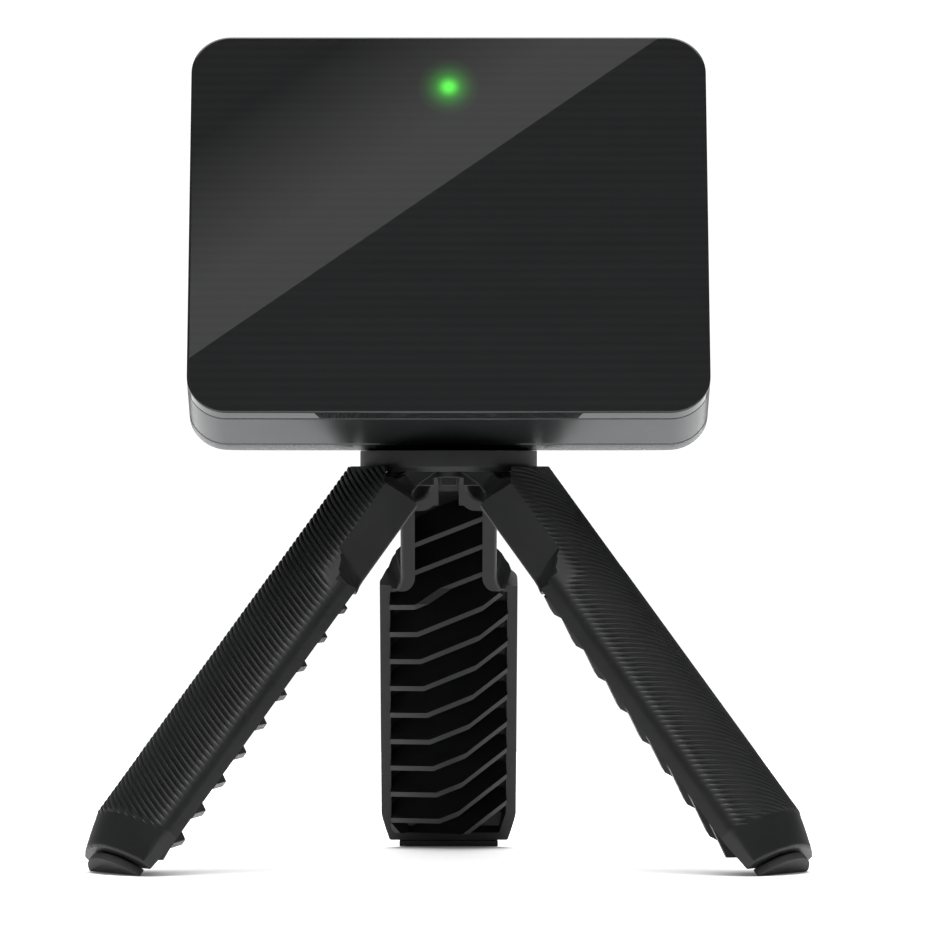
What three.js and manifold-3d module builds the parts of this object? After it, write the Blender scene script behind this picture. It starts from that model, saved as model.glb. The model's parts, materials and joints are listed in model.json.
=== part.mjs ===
// Pocket golf launch monitor: a slim radar unit that leans back on a folding mini tripod.
// Millimetres. +X to the right of the glossy face, +Y away from whoever faces it, +Z up.
// The design is laid out round the tripod's vertical axis, with the ground at Z = 0, and the
// whole group is moved at the end so that the origin is under the middle of its box.

import * as THREE from "three";
import { mergeVertices } from "three/addons/utils/BufferGeometryUtils.js";
import Module from "manifold-3d";

const wasm = await Module();
wasm.setup();

// ---------- driving dimensions ----------

const UNIT_WIDTH = 88.9;
const UNIT_HEIGHT = 71.1;
const UNIT_DEPTH = 25.4;
const UNIT_CORNER = 6.8;
const UNIT_WALL = 2;
const LEAN = THREE.MathUtils.degToRad(23.2);

const LENS_BACK = 2.7; // depths behind the face
const HOUSING_FRONT = 2.9;
const HOUSING_BACK = 13.3;
const COVER_FRONT = 13.5;
const COVER_BEND = 16; // where the rear cover starts to taper

const PLATFORM_TOP = 71.2; // the level seat under the unit
const SWIVEL_GAP = 0.08; // between that seat and the hub's pad and rim
const COLLAR_RADIUS = 15.2;
const COLLAR_BOTTOM = 67.5;
const STUD_RADIUS = 3.175; // 1/4 inch tripod thread

const SPLAY = THREE.MathUtils.degToRad(39.7);
const PIVOT_RADIUS = 5.5;
const PIVOT_HEIGHT = 68.35;
const PIN_RADIUS = 0.75;
const LEG_AZIMUTHS = { left: -60, right: 60, rear: 180 }; // degrees round Z from -Y

const LEG_HALF_WIDTH = 12.1;
const LEG_WALL = 1.8;
const NECK_WALL = 2.5;
const LEG_END = 88.6; // distances down the leg from its pivot
const NECK_TOP = 6.4;
const NECK_HALF_WIDTH = 8.4;
const NECK_END = 24.3;
const LIP_END = 28.1; // where the neck's raised rim steps down to the leg's rim
const SHOULDER_END = 29.7;
const RIM = 1.7; // the open side's plane, outward of the pivot
const NECK_RIM = RIM - 2;
const FLANK_TOP = RIM + 2.9;
const LEG_CREST = RIM + 7.5;

const FOLDED_GAP = 0.18; // from each leg to the plane it shares with its neighbour when folded
const PLAY = 0.3; // between fixed pieces
const CURVE_STEPS = 4; // along each arc of an outline
const LEG_ARC_STEPS = 8;
const ROUND_STEPS = 28; // round a full turn

// The unit's own frame is x = across, y = depth, z = up the face. Its back bottom edge, where the
// cover bends, lies on the platform, so the base behind it is level.
const BASE_EDGE_Y = -5.3;
const unitPose = new THREE.Matrix4()
  .makeRotationX(-LEAN)
  .setPosition(
    0,
    BASE_EDGE_Y - COVER_BEND * Math.cos(LEAN),
    PLATFORM_TOP + COVER_BEND * Math.sin(LEAN),
  );
const intoUnit = unitPose.clone().invert();

// ---------- materials ----------

const plastic = (color, roughness) => new THREE.MeshStandardMaterial({ color, roughness, metalness: 0 });
const metal = (color, roughness) => new THREE.MeshStandardMaterial({ color, roughness, metalness: 1 });

const MATERIALS = {
  gloss: plastic(0x17181a, 0.08),
  housing: plastic(0x54565a, 0.35),
  cover: plastic(0x1d1e20, 0.55),
  tripod: plastic(0x1b1c1e, 0.5),
  rubber: plastic(0x151615, 0.85),
  steel: metal(0x9a9da1, 0.35),
  brass: metal(0xb58f45, 0.35),
  board: plastic(0x15402a, 0.5),
  shield: metal(0xb4b6b8, 0.4),
  pouch: plastic(0x9fa3a8, 0.45),
  clear: plastic(0xb6f5c4, 0.15),
};

// ---------- solids ----------

// A closed geometry as a solid that can be joined and cut.
function solid(geometry) {
  const bare = geometry.clone();
  bare.deleteAttribute("normal");
  bare.deleteAttribute("uv");
  const merged = mergeVertices(bare, 1e-4);
  return new wasm.Manifold(
    new wasm.Mesh({
      numProp: 3,
      vertProperties: merged.attributes.position.array,
      triVerts: new Uint32Array(merged.index.array),
    }),
  );
}

function union(solids) {
  return solids.reduce((all, next) => all.add(next));
}

function cut(body, tools) {
  return tools.reduce((left, tool) => left.subtract(tool), body);
}

function common(solids) {
  return solids.reduce((all, next) => all.intersect(next));
}

function placed(body, matrix) {
  return body.transform(matrix.elements);
}

// Names a solid and gives it its material.
function piece(name, body, material) {
  const result = body.getMesh();
  const geometry = new THREE.BufferGeometry();
  geometry.setAttribute("position", new THREE.BufferAttribute(result.vertProperties, 3));
  geometry.setIndex(new THREE.BufferAttribute(result.triVerts, 1));
  const faceted = geometry.toNonIndexed();
  faceted.computeVertexNormals();
  const mesh = new THREE.Mesh(faceted, material);
  mesh.name = name;
  return mesh;
}

// For each axis: where an outline's first and second coordinate and its extrusion point.
const EXTRUSION_AXES = {
  x: [new THREE.Vector3(0, 1, 0), new THREE.Vector3(0, 0, 1), new THREE.Vector3(1, 0, 0)],
  y: [new THREE.Vector3(1, 0, 0), new THREE.Vector3(0, 0, 1), new THREE.Vector3(0, -1, 0)],
  z: [new THREE.Vector3(1, 0, 0), new THREE.Vector3(0, 1, 0), new THREE.Vector3(0, 0, 1)],
};

// An outline extruded along an axis, from its lower to its higher coordinate.
function prism(outline, axis, low, high) {
  const geometry = new THREE.ExtrudeGeometry(outline, {
    depth: high - low,
    bevelEnabled: false,
    curveSegments: CURVE_STEPS,
  });
  geometry.applyMatrix4(new THREE.Matrix4().makeBasis(...EXTRUSION_AXES[axis]));
  const start = new THREE.Vector3();
  start[axis] = axis === "y" ? high : low;
  geometry.translate(start.x, start.y, start.z);
  return solid(geometry);
}

function polygon(points) {
  return new THREE.Shape(points.map(([x, y]) => new THREE.Vector2(x, y)));
}

function block(x0, x1, y0, y1, z0, z1) {
  const geometry = new THREE.BoxGeometry(x1 - x0, y1 - y0, z1 - z0);
  geometry.translate((x0 + x1) / 2, (y0 + y1) / 2, (z0 + z1) / 2);
  return solid(geometry);
}

function roundedRectangle(x0, y0, x1, y1, radius) {
  const shape = new THREE.Shape();
  shape.moveTo(x0 + radius, y0);
  shape.lineTo(x1 - radius, y0);
  shape.absarc(x1 - radius, y0 + radius, radius, -Math.PI / 2, 0);
  shape.absarc(x1 - radius, y1 - radius, radius, 0, Math.PI / 2);
  shape.absarc(x0 + radius, y1 - radius, radius, Math.PI / 2, Math.PI);
  shape.absarc(x0 + radius, y0 + radius, radius, Math.PI, Math.PI * 1.5);
  return shape;
}

// A cylinder on an axis parallel to x, y or z, through the point `centre`.
function rod(axis, centre, radius, low, high, steps = 12) {
  const geometry = new THREE.CylinderGeometry(radius, radius, high - low, steps);
  if (axis === "x") geometry.rotateZ(Math.PI / 2);
  if (axis === "z") geometry.rotateX(Math.PI / 2);
  const middle = new THREE.Vector3(...centre);
  middle[axis] = (low + high) / 2;
  geometry.translate(middle.x, middle.y, middle.z);
  return solid(geometry);
}

// A solid turned about Z from a closed outline of [radius, height] points.
function turned(points, steps = ROUND_STEPS) {
  const profile = points.map(([radius, height]) => new THREE.Vector2(radius, height));
  const geometry = new THREE.LatheGeometry(profile, steps);
  geometry.rotateX(Math.PI / 2);
  return solid(geometry);
}

// ---------- the radar unit ----------

// The unit's outline at the face, drawn in by `inset` all round.
function unitOutline(inset) {
  return roundedRectangle(
    -UNIT_WIDTH / 2 + inset,
    inset,
    UNIT_WIDTH / 2 - inset,
    UNIT_HEIGHT - inset,
    UNIT_CORNER - inset,
  );
}

function unitSlab(inset, front, back) {
  return prism(unitOutline(inset), "y", front, back);
}

function unitRing(outerInset, innerInset, front, back) {
  return unitSlab(outerInset, front, back).subtract(unitSlab(innerInset, front - 1, back + 1));
}

const LENS_THICKNESS = 1.6;
const LENS_EDGE = 0.3;

// The face window with its side wall, open behind.
function frontLens() {
  const rim = unitSlab(0, LENS_EDGE, LENS_BACK);
  const face = unitSlab(LENS_EDGE / 2, 0, LENS_EDGE + PLAY);
  const hollow = unitSlab(UNIT_WALL, LENS_THICKNESS, LENS_BACK + 1);
  return cut(union([rim, face]), [hollow]);
}

const SEAL_OUTER = 0.95;
const SEAL_INNER = 1.45;
const SEAL_HEIGHT = 0.6;
const GROOVE_OUTER = 0.7;
const GROOVE_INNER = 1.7;
const GROOVE_DEPTH = 1;

// A gasket in the groove that starts at depth `mouth` and runs back or forward by `direction`.
function sealRing(mouth, direction) {
  const near = mouth + direction * 0.1;
  const far = near + direction * SEAL_HEIGHT;
  return unitRing(SEAL_OUTER, SEAL_INNER, Math.min(near, far), Math.max(near, far));
}

function sealGroove(mouth, direction) {
  const floor = mouth + direction * GROOVE_DEPTH;
  const outside = mouth - direction;
  return unitRing(GROOVE_OUTER, GROOVE_INNER, Math.min(floor, outside), Math.max(floor, outside));
}

const WEB_FRONT = 8;
const WEB_BACK = 9.4;
const SCREW_X = 35.5;
const SCREW_HEIGHTS = [10.5, 60.5];
const SCREW_RADIUS = 1;
const SCREW_HEAD_RADIUS = 2.1;
const SCREW_HEAD = 1.3;
const SCREW_SEAT = 22.6;
const SCREW_TIP = 10.4;
const DRIVE_RADIUS = 0.9;
const DRIVE_DEPTH = 0.7;
const BOSS_RADIUS = 2.9;

const screwPlaces = SCREW_HEIGHTS.flatMap((z) => [-SCREW_X, SCREW_X].map((x) => [x, z]));

function screwRods(radius, front, back) {
  return screwPlaces.map(([x, z]) => rod("y", [x, 0, z], radius, front, back));
}

const SIDE_DEPTH = (HOUSING_FRONT + HOUSING_BACK) / 2; // middle of the metal-grey band
const BUTTON_HEIGHT = 46; // up the face
const BUTTON_LENGTH = 12;
const BUTTON_WIDTH = 4.6;
const PORT_HEIGHT = 30;
const PORT_LENGTH = 7.9;
const PORT_WIDTH = 2.9;
const FLAP_LENGTH = 16;
const FLAP_WIDTH = 6.2;
const FLAP_THICKNESS = 1.2;
const FLAP_BOTTOM = PORT_HEIGHT - FLAP_LENGTH / 2;
const BUTTON_GAP = 0.5; // total, along and across
const PORT_GAP = 0.7;
const POCKET_REACH = 8.4; // of the openings in the web beside the button and the socket
const BUTTON_POCKET = 8.5; // half lengths of those openings up the face
const PORT_POCKET = 5;
const SIDE = UNIT_WIDTH / 2;

// An upright pill or slot in a side wall: `length` up the face and `width` in depth.
function sidePill(length, width, low, high, height) {
  const outline = roundedRectangle(
    SIDE_DEPTH - width / 2,
    height - length / 2,
    SIDE_DEPTH + width / 2,
    height + length / 2,
    width / 2 - 0.01,
  );
  return prism(outline, "x", low, high);
}

// The ring between lens and cover, with a web across it that carries the boards.
function midHousing() {
  const ring = unitRing(0, UNIT_WALL, HOUSING_FRONT, HOUSING_BACK);
  const web = unitSlab(UNIT_WALL - PLAY, WEB_FRONT, WEB_BACK);
  const bosses = screwRods(BOSS_RADIUS, WEB_FRONT, HOUSING_BACK);
  const buttonHole = sidePill(
    BUTTON_LENGTH + BUTTON_GAP,
    BUTTON_WIDTH + BUTTON_GAP,
    SIDE - 2 * UNIT_WALL,
    SIDE + 1,
    BUTTON_HEIGHT,
  );
  const buttonPocket = block(
    SIDE - POCKET_REACH,
    SIDE - UNIT_WALL,
    WEB_FRONT - 1,
    WEB_BACK + 1,
    BUTTON_HEIGHT - BUTTON_POCKET,
    BUTTON_HEIGHT + BUTTON_POCKET,
  );
  const portHole = sidePill(
    PORT_LENGTH + PORT_GAP,
    PORT_WIDTH + PORT_GAP,
    -SIDE - 1,
    -SIDE + 2 * UNIT_WALL,
    PORT_HEIGHT,
  );
  const portPocket = block(
    -SIDE + UNIT_WALL,
    -SIDE + POCKET_REACH,
    WEB_FRONT - 1,
    WEB_BACK + 1,
    PORT_HEIGHT - PORT_POCKET,
    PORT_HEIGHT + PORT_POCKET,
  );
  const flapRecess = block(
    -SIDE - 1,
    -SIDE + FLAP_THICKNESS + 0.2,
    SIDE_DEPTH - FLAP_WIDTH / 2 - PLAY,
    SIDE_DEPTH + FLAP_WIDTH / 2 + PLAY,
    FLAP_BOTTOM - PLAY,
    FLAP_BOTTOM + FLAP_LENGTH + PLAY,
  );
  return cut(union([ring, web, ...bosses]), [
    ...screwRods(SCREW_RADIUS + 0.15, WEB_FRONT + 1, HOUSING_BACK + 1),
    buttonHole,
    buttonPocket,
    portHole,
    portPocket,
    flapRecess,
    sealGroove(HOUSING_FRONT, 1),
    sealGroove(HOUSING_BACK, -1),
  ]);
}

const COVER_SIDE_TAPER = 8;
const COVER_TOP_TAPER = 8.5;

// The rear cover's closed form drawn in by `inset`: straight sides that round over into the back,
// and a base that is level once the unit leans back.
function pillow(inset, front) {
  const back = UNIT_DEPTH - inset;
  const roundDepth = back - COVER_BEND;
  const halfWidth = UNIT_WIDTH / 2 - inset;
  const top = UNIT_HEIGHT - inset;
  const across = halfWidth - COVER_SIDE_TAPER + inset;
  const over = top - COVER_TOP_TAPER + inset;
  const baseLift = (depth) => inset / Math.cos(LEAN) + (depth - COVER_BEND) * Math.tan(LEAN);

  const plan = new THREE.Shape();
  plan.moveTo(-halfWidth, front);
  plan.lineTo(halfWidth, front);
  plan.absellipse(across, COVER_BEND, halfWidth - across, roundDepth, 0, Math.PI / 2);
  plan.absellipse(-across, COVER_BEND, halfWidth - across, roundDepth, Math.PI / 2, Math.PI);

  const profile = new THREE.Shape();
  profile.moveTo(front, inset);
  profile.lineTo(COVER_BEND, inset);
  profile.lineTo(back, baseLift(back));
  profile.absellipse(COVER_BEND, over, roundDepth, top - over, 0, Math.PI / 2);
  profile.lineTo(front, top);

  return common([
    unitSlab(inset, front, back),
    prism(plan, "z", 0, UNIT_HEIGHT),
    prism(profile, "x", -UNIT_WIDTH, UNIT_WIDTH),
  ]);
}

const INSERT_RADIUS = 3.95;
const INSERT_BOTTOM = PLATFORM_TOP + 0.4;
const INSERT_TOP = INSERT_BOTTOM + 5.6;
const INSERT_BORE = STUD_RADIUS + 0.28;
const INSERT_BOSS = 6.2;

// An upright rod on the tripod's axis, given in the unit's own frame.
function axisRod(radius, bottom, top) {
  return placed(rod("z", [0, 0, 0], radius, bottom, top, ROUND_STEPS), intoUnit);
}

function rearCover() {
  const outside = pillow(0, COVER_FRONT);
  const shell = outside.subtract(pillow(UNIT_WALL, COVER_FRONT - 1));
  const inner = common([outside, unitSlab(UNIT_WALL / 2, COVER_FRONT + PLAY, UNIT_DEPTH)]);
  const bosses = union(screwRods(BOSS_RADIUS, COVER_FRONT + PLAY, UNIT_DEPTH)).intersect(outside);
  const insertBoss = common([axisRod(INSERT_BOSS, PLATFORM_TOP - 1, INSERT_TOP + 1.4), inner]);
  return cut(union([shell, bosses, insertBoss]), [
    ...screwRods(SCREW_RADIUS + 0.3, COVER_FRONT - 1, UNIT_DEPTH),
    ...screwRods(SCREW_HEAD_RADIUS + 0.3, SCREW_SEAT - PLAY, UNIT_DEPTH + 1),
    axisRod(INSERT_RADIUS + 0.25, PLATFORM_TOP - 1, INSERT_TOP + 0.3),
  ]);
}

function threadInsert() {
  return axisRod(INSERT_RADIUS, INSERT_BOTTOM, INSERT_TOP).subtract(
    axisRod(INSERT_BORE, INSERT_BOTTOM - 1, INSERT_TOP + 1),
  );
}

function caseScrew([x, z]) {
  const head = rod("y", [x, 0, z], SCREW_HEAD_RADIUS, SCREW_SEAT, SCREW_SEAT + SCREW_HEAD);
  const shank = rod("y", [x, 0, z], SCREW_RADIUS, SCREW_TIP, SCREW_SEAT + PLAY, 8);
  const headTop = SCREW_SEAT + SCREW_HEAD;
  const drive = rod("y", [x, 0, z], DRIVE_RADIUS, headTop - DRIVE_DEPTH, headTop + 1, 6);
  return union([head, shank]).subtract(drive);
}

const RADAR_BOARD_FRONT = 5;
const MAIN_BOARD_FRONT = 10.4;
const BOARD_THICKNESS = 1.2;
const BATTERY_FRONT = 14.2;
const BATTERY_THICKNESS = 6;
const LED_HEIGHT = UNIT_HEIGHT - 9.7; // up the face
const LED_RADIUS = 1.2;

// A board, shield or cell: half its width, its bottom and top up the face, its corners' radius
// and its depths.
function plate(halfWidth, low, high, corner, front, back) {
  return prism(roundedRectangle(-halfWidth, low, halfWidth, high, corner), "y", front, back);
}

function radarBoard() {
  return plate(35, 8, 66, 2, RADAR_BOARD_FRONT, RADAR_BOARD_FRONT + BOARD_THICKNESS);
}

function radarShield() {
  const back = RADAR_BOARD_FRONT + BOARD_THICKNESS;
  return plate(24, 16, 54, 1, back + 0.2, back + 1.4);
}

// The board behind the web, notched round the four screw bosses.
function mainBoard() {
  const board = plate(38.5, 14, 64, 2, MAIN_BOARD_FRONT, MAIN_BOARD_FRONT + BOARD_THICKNESS);
  return cut(board, screwRods(BOSS_RADIUS + 0.5, MAIN_BOARD_FRONT - 1, MAIN_BOARD_FRONT + 2));
}

function processorShield() {
  const back = MAIN_BOARD_FRONT + BOARD_THICKNESS;
  return plate(14, 26, 50, 1, back + 0.2, back + 1.8);
}

function batteryCell() {
  return plate(26, 21, 57, 2, BATTERY_FRONT, BATTERY_FRONT + BATTERY_THICKNESS);
}

function lightPipe() {
  return rod("y", [0, 0, LED_HEIGHT], LED_RADIUS, LENS_THICKNESS + PLAY, RADAR_BOARD_FRONT - 1.1);
}

function statusLed() {
  return block(-0.8, 0.8, RADAR_BOARD_FRONT - 0.9, RADAR_BOARD_FRONT - 0.2, LED_HEIGHT - 0.8, LED_HEIGHT + 0.8);
}

// The charging socket's metal shell, open at the unit's side.
function usbSocket() {
  const mouth = -SIDE + FLAP_THICKNESS + PLAY;
  const shell = sidePill(PORT_LENGTH, PORT_WIDTH, mouth, mouth + 5.6, PORT_HEIGHT);
  const hollow = sidePill(PORT_LENGTH - 0.7, PORT_WIDTH - 0.7, mouth - 1, mouth + 4.8, PORT_HEIGHT);
  return shell.subtract(hollow);
}

// The sealing flap: a strip with a rounded hinge end and a tongue that plugs the socket.
function usbCover() {
  const outer = -SIDE;
  const inner = outer + FLAP_THICKNESS;
  const hingeRadius = FLAP_THICKNESS / 2;
  const strip = new THREE.Shape();
  strip.moveTo(inner, FLAP_BOTTOM + FLAP_LENGTH);
  strip.lineTo(outer, FLAP_BOTTOM + FLAP_LENGTH);
  strip.lineTo(outer, FLAP_BOTTOM + hingeRadius);
  strip.absarc(outer + hingeRadius, FLAP_BOTTOM + hingeRadius, hingeRadius, Math.PI, Math.PI * 2);
  const low = SIDE_DEPTH - FLAP_WIDTH / 2;
  const tongue = sidePill(PORT_LENGTH - 2.4, PORT_WIDTH - 1.5, inner - 0.2, inner + 1.4, PORT_HEIGHT);
  return union([prism(strip, "y", low, low + FLAP_WIDTH), tongue]);
}

const BUTTON_TRAVEL = 0.4;
const FLANGE_FACE = SIDE - UNIT_WALL - 0.35;
const FLANGE_THICKNESS = 0.9;

function powerButton() {
  const cap = sidePill(BUTTON_LENGTH, BUTTON_WIDTH, FLANGE_FACE - 0.2, SIDE, BUTTON_HEIGHT);
  const flange = sidePill(
    BUTTON_LENGTH + 1.8,
    BUTTON_WIDTH + 1.6,
    FLANGE_FACE - FLANGE_THICKNESS,
    FLANGE_FACE,
    BUTTON_HEIGHT,
  );
  return union([cap, flange]);
}

function powerSwitch() {
  const tip = FLANGE_FACE - FLANGE_THICKNESS - BUTTON_TRAVEL - 0.2;
  const back = MAIN_BOARD_FRONT - 0.2;
  const body = block(tip - 3.4, tip - 0.8, back - 3, back, BUTTON_HEIGHT - 2.4, BUTTON_HEIGHT + 2.4);
  const plunger = rod("x", [0, back - 1.5, BUTTON_HEIGHT], 0.9, tip - 1, tip);
  return union([body, plunger]);
}

function radarUnit() {
  const { gloss, housing, cover, rubber, steel, brass, board, shield, pouch, clear } = MATERIALS;
  const unit = new THREE.Group();
  unit.applyMatrix4(unitPose);
  unit.add(
    piece("front_lens", frontLens(), gloss),
    piece("front_seal", sealRing(HOUSING_FRONT, 1), rubber),
    piece("mid_housing", midHousing(), housing),
    piece("rear_seal", sealRing(HOUSING_BACK, -1), rubber),
    piece("rear_cover", rearCover(), cover),
    piece("thread_insert", threadInsert(), brass),
    piece("radar_board", radarBoard(), board),
    piece("radar_shield", radarShield(), shield),
    piece("main_board", mainBoard(), board),
    piece("processor_shield", processorShield(), shield),
    piece("battery_cell", batteryCell(), pouch),
    piece("light_pipe", lightPipe(), clear),
    piece("status_led", statusLed(), clear),
    piece("usb_socket", usbSocket(), steel),
    piece("usb_cover", usbCover(), rubber),
    piece("power_button", powerButton(), cover),
    piece("power_switch", powerSwitch(), steel),
    ...screwPlaces.map((place, i) => piece(`case_screw_${i + 1}`, caseScrew(place), steel)),
  );
  return unit;
}

// ---------- the tripod's hub ----------

const SLOT_HALF_WIDTH = 3.55;
const SLOT_END = 10.9;
const SLOT_ROOF = 70;
const SEAT_FLOOR = 70.55; // the recess for the rubber pad and the stud's flange
const SEAT_RADIUS = 13.7;
const FLANGE_RADIUS = 4.4;
const CORE_RADIUS = 3.4;
const ARM_HALF_WIDTH = 1.35;
const ARM_END = 7.3;
const ARM_BOTTOM = 65.1;
const ARM_ROOT = 3.6; // radius where an arm drops from the core's bottom to its own
const CORE_BOTTOM = 66.5;
const PIN_HALF_LENGTH = 4.9;
const SPIGOT_RADIUS = 1.6;
const SPIGOT_BOTTOM = 66.6;
const SPIGOT_BORE = 1.85;
const HUB_BORE = 2.1;
const STUD_LENGTH = 5.2;
const STUD_CHAMFER = 0.6;

// A copy of one solid for each leg, turned about the tripod's axis.
function aroundAxis(body) {
  return Object.values(LEG_AZIMUTHS).map((azimuth) =>
    placed(body, new THREE.Matrix4().makeRotationZ(THREE.MathUtils.degToRad(azimuth))),
  );
}

function hubBody() {
  const edge = 0.5;
  const disc = turned([
    [0, COLLAR_BOTTOM],
    [COLLAR_RADIUS - edge, COLLAR_BOTTOM],
    [COLLAR_RADIUS, COLLAR_BOTTOM + edge],
    [COLLAR_RADIUS, PLATFORM_TOP - SWIVEL_GAP],
    [SEAT_RADIUS, PLATFORM_TOP - SWIVEL_GAP],
    [SEAT_RADIUS, SEAT_FLOOR],
    [0, SEAT_FLOOR],
  ]);
  const slot = block(-SLOT_HALF_WIDTH, SLOT_HALF_WIDTH, -SLOT_END, -2, COLLAR_BOTTOM - 1, SLOT_ROOF);
  const grooveHalf = PIN_RADIUS + 0.2;
  const pinGroove = block(
    -PIN_HALF_LENGTH - 0.2,
    PIN_HALF_LENGTH + 0.2,
    -PIVOT_RADIUS - grooveHalf,
    -PIVOT_RADIUS + grooveHalf,
    COLLAR_BOTTOM - 1,
    PIVOT_HEIGHT + grooveHalf,
  );
  return cut(disc, [
    ...aroundAxis(slot),
    ...aroundAxis(pinGroove),
    rod("z", [0, 0, 0], CORE_RADIUS + PLAY, COLLAR_BOTTOM - 1, SLOT_ROOF, 24),
    rod("z", [0, 0, 0], HUB_BORE, COLLAR_BOTTOM, PLATFORM_TOP, 16),
  ]);
}

// The thread that carries the unit: flange on the platform, spigot down into the pivot spider.
function mountStud() {
  return turned([
    [0, SPIGOT_BOTTOM],
    [SPIGOT_RADIUS, SPIGOT_BOTTOM],
    [SPIGOT_RADIUS, SEAT_FLOOR + 0.05],
    [FLANGE_RADIUS, SEAT_FLOOR + 0.05],
    [FLANGE_RADIUS, PLATFORM_TOP - 0.15],
    [STUD_RADIUS, PLATFORM_TOP - 0.15],
    [STUD_RADIUS, PLATFORM_TOP + STUD_LENGTH - STUD_CHAMFER],
    [STUD_RADIUS - STUD_CHAMFER, PLATFORM_TOP + STUD_LENGTH],
    [0, PLATFORM_TOP + STUD_LENGTH],
  ]);
}

function platformPad() {
  return turned([
    [FLANGE_RADIUS + PLAY, SEAT_FLOOR + 0.05],
    [SEAT_RADIUS - 0.2, SEAT_FLOOR + 0.05],
    [SEAT_RADIUS - 0.2, PLATFORM_TOP - SWIVEL_GAP],
    [FLANGE_RADIUS + PLAY, PLATFORM_TOP - SWIVEL_GAP],
    [FLANGE_RADIUS + PLAY, SEAT_FLOOR + 0.05],
  ]);
}

// Three arms that carry the legs' pins, on a core that the stud screws into.
function pivotSpider() {
  const top = SLOT_ROOF - 0.25;
  const root = block(-ARM_HALF_WIDTH, ARM_HALF_WIDTH, -ARM_END, 0, CORE_BOTTOM, top);
  const tip = block(-ARM_HALF_WIDTH, ARM_HALF_WIDTH, -ARM_END, -ARM_ROOT, ARM_BOTTOM, top);
  const pinHole = rod("x", [0, -PIVOT_RADIUS, PIVOT_HEIGHT], PIN_RADIUS + 0.06, -2, 2);
  const core = rod("z", [0, 0, 0], CORE_RADIUS, CORE_BOTTOM, top, 24);
  return cut(union([core, ...aroundAxis(union([root, tip]))]), [
    ...aroundAxis(pinHole),
    rod("z", [0, 0, 0], SPIGOT_BORE, CORE_BOTTOM - 1, SLOT_ROOF, 16),
  ]);
}

function hingePin() {
  return rod("x", [0, 0, 0], PIN_RADIUS, -PIN_HALF_LENGTH, PIN_HALF_LENGTH);
}

// ---------- the legs ----------

// A leg's own frame has its pivot at the origin: x = across, y = outward, z = down the leg.

const EAR_INNER = 1.75;
const EAR_OUTER = 3.15;
const EAR_RADIUS = 1.5;

const RIB_THICKNESS = 1;
const RIB_PITCH = 6.3;
const RIB_COUNT = 12;
const FIRST_RIB = 14.75;
const RIB_SLANT = 0.51; // drop down the leg for each step across
const RIB_STAND_TOP = 3.4; // how far the ribs stand out of the rim at the shoulder and at the foot
const RIB_STAND_FOOT = 6.2;
const RIB_INSIDE = -4.6; // outward coordinate of the ribs' inmost edge
const RIB_INSET = 0.9; // of the ribs inside the leg's outer form
const GROUND_CLEARANCE = 0.5;

// How far down the splayed leg a point this far outward meets the level `height` above ground.
function levelAt(outward, height) {
  return (PIVOT_HEIGHT - height + outward * Math.sin(SPLAY)) / Math.cos(SPLAY);
}

// Half the room across a folded leg at a distance `outward` from its pivot.
function foldedHalfWidth(outward) {
  const radius = PIVOT_RADIUS + outward;
  return radius * Math.tan(Math.PI / 3) - FOLDED_GAP / Math.cos(Math.PI / 3);
}

// A channel's section: flat sides up to `flank`, then one arc over a crest.
function channelSection(halfWidth, bottom, flank, crest) {
  const rise = crest - flank;
  const radius = (halfWidth * halfWidth + rise * rise) / (2 * rise);
  const reach = Math.asin(halfWidth / radius);
  const shape = new THREE.Shape();
  shape.moveTo(-halfWidth, bottom);
  shape.lineTo(halfWidth, bottom);
  shape.absarc(0, crest - radius, radius, Math.PI / 2 - reach, Math.PI / 2 + reach);
  return shape;
}

// A closed outline from its right half, given from top to bottom.
function mirrored(rightHalf) {
  const leftHalf = rightHalf.map(([x, y]) => [-x, y]).reverse();
  return polygon([...rightHalf, ...leftHalf]);
}

// A quarter ellipse from [x0, y0] to [x1, y1] that starts along y and ends along x.
function quarter([x0, y0], [x1, y1]) {
  return Array.from({ length: CURVE_STEPS + 1 }, (_, i) => {
    const angle = (i / CURVE_STEPS) * (Math.PI / 2);
    return [x1 + (x0 - x1) * Math.cos(angle), y0 + (y1 - y0) * Math.sin(angle)];
  });
}

const FOOT_TAPER = 1.8;
const FOOT_TAPER_LENGTH = 5.3;

// The channel's outer form, drawn in all round towards the foot.
function taperedChannel() {
  const section = channelSection(LEG_HALF_WIDTH, NECK_RIM - 1, FLANK_TOP, LEG_CREST);
  const geometry = new THREE.ExtrudeGeometry(section, {
    depth: LEG_END - FOOT_TAPER_LENGTH,
    curveSegments: LEG_ARC_STEPS,
    bevelSegments: 1,
    bevelThickness: FOOT_TAPER_LENGTH,
    bevelSize: FOOT_TAPER,
    bevelOffset: -FOOT_TAPER,
  });
  return solid(geometry);
}

const THROAT_START = 4.46; // the groove across the leg's top end, outward of the pivot
const THROAT_FLOOR = 3.8;
const LIP_INNER = 7.75; // the lip beyond it, which ends level under the collar

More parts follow.
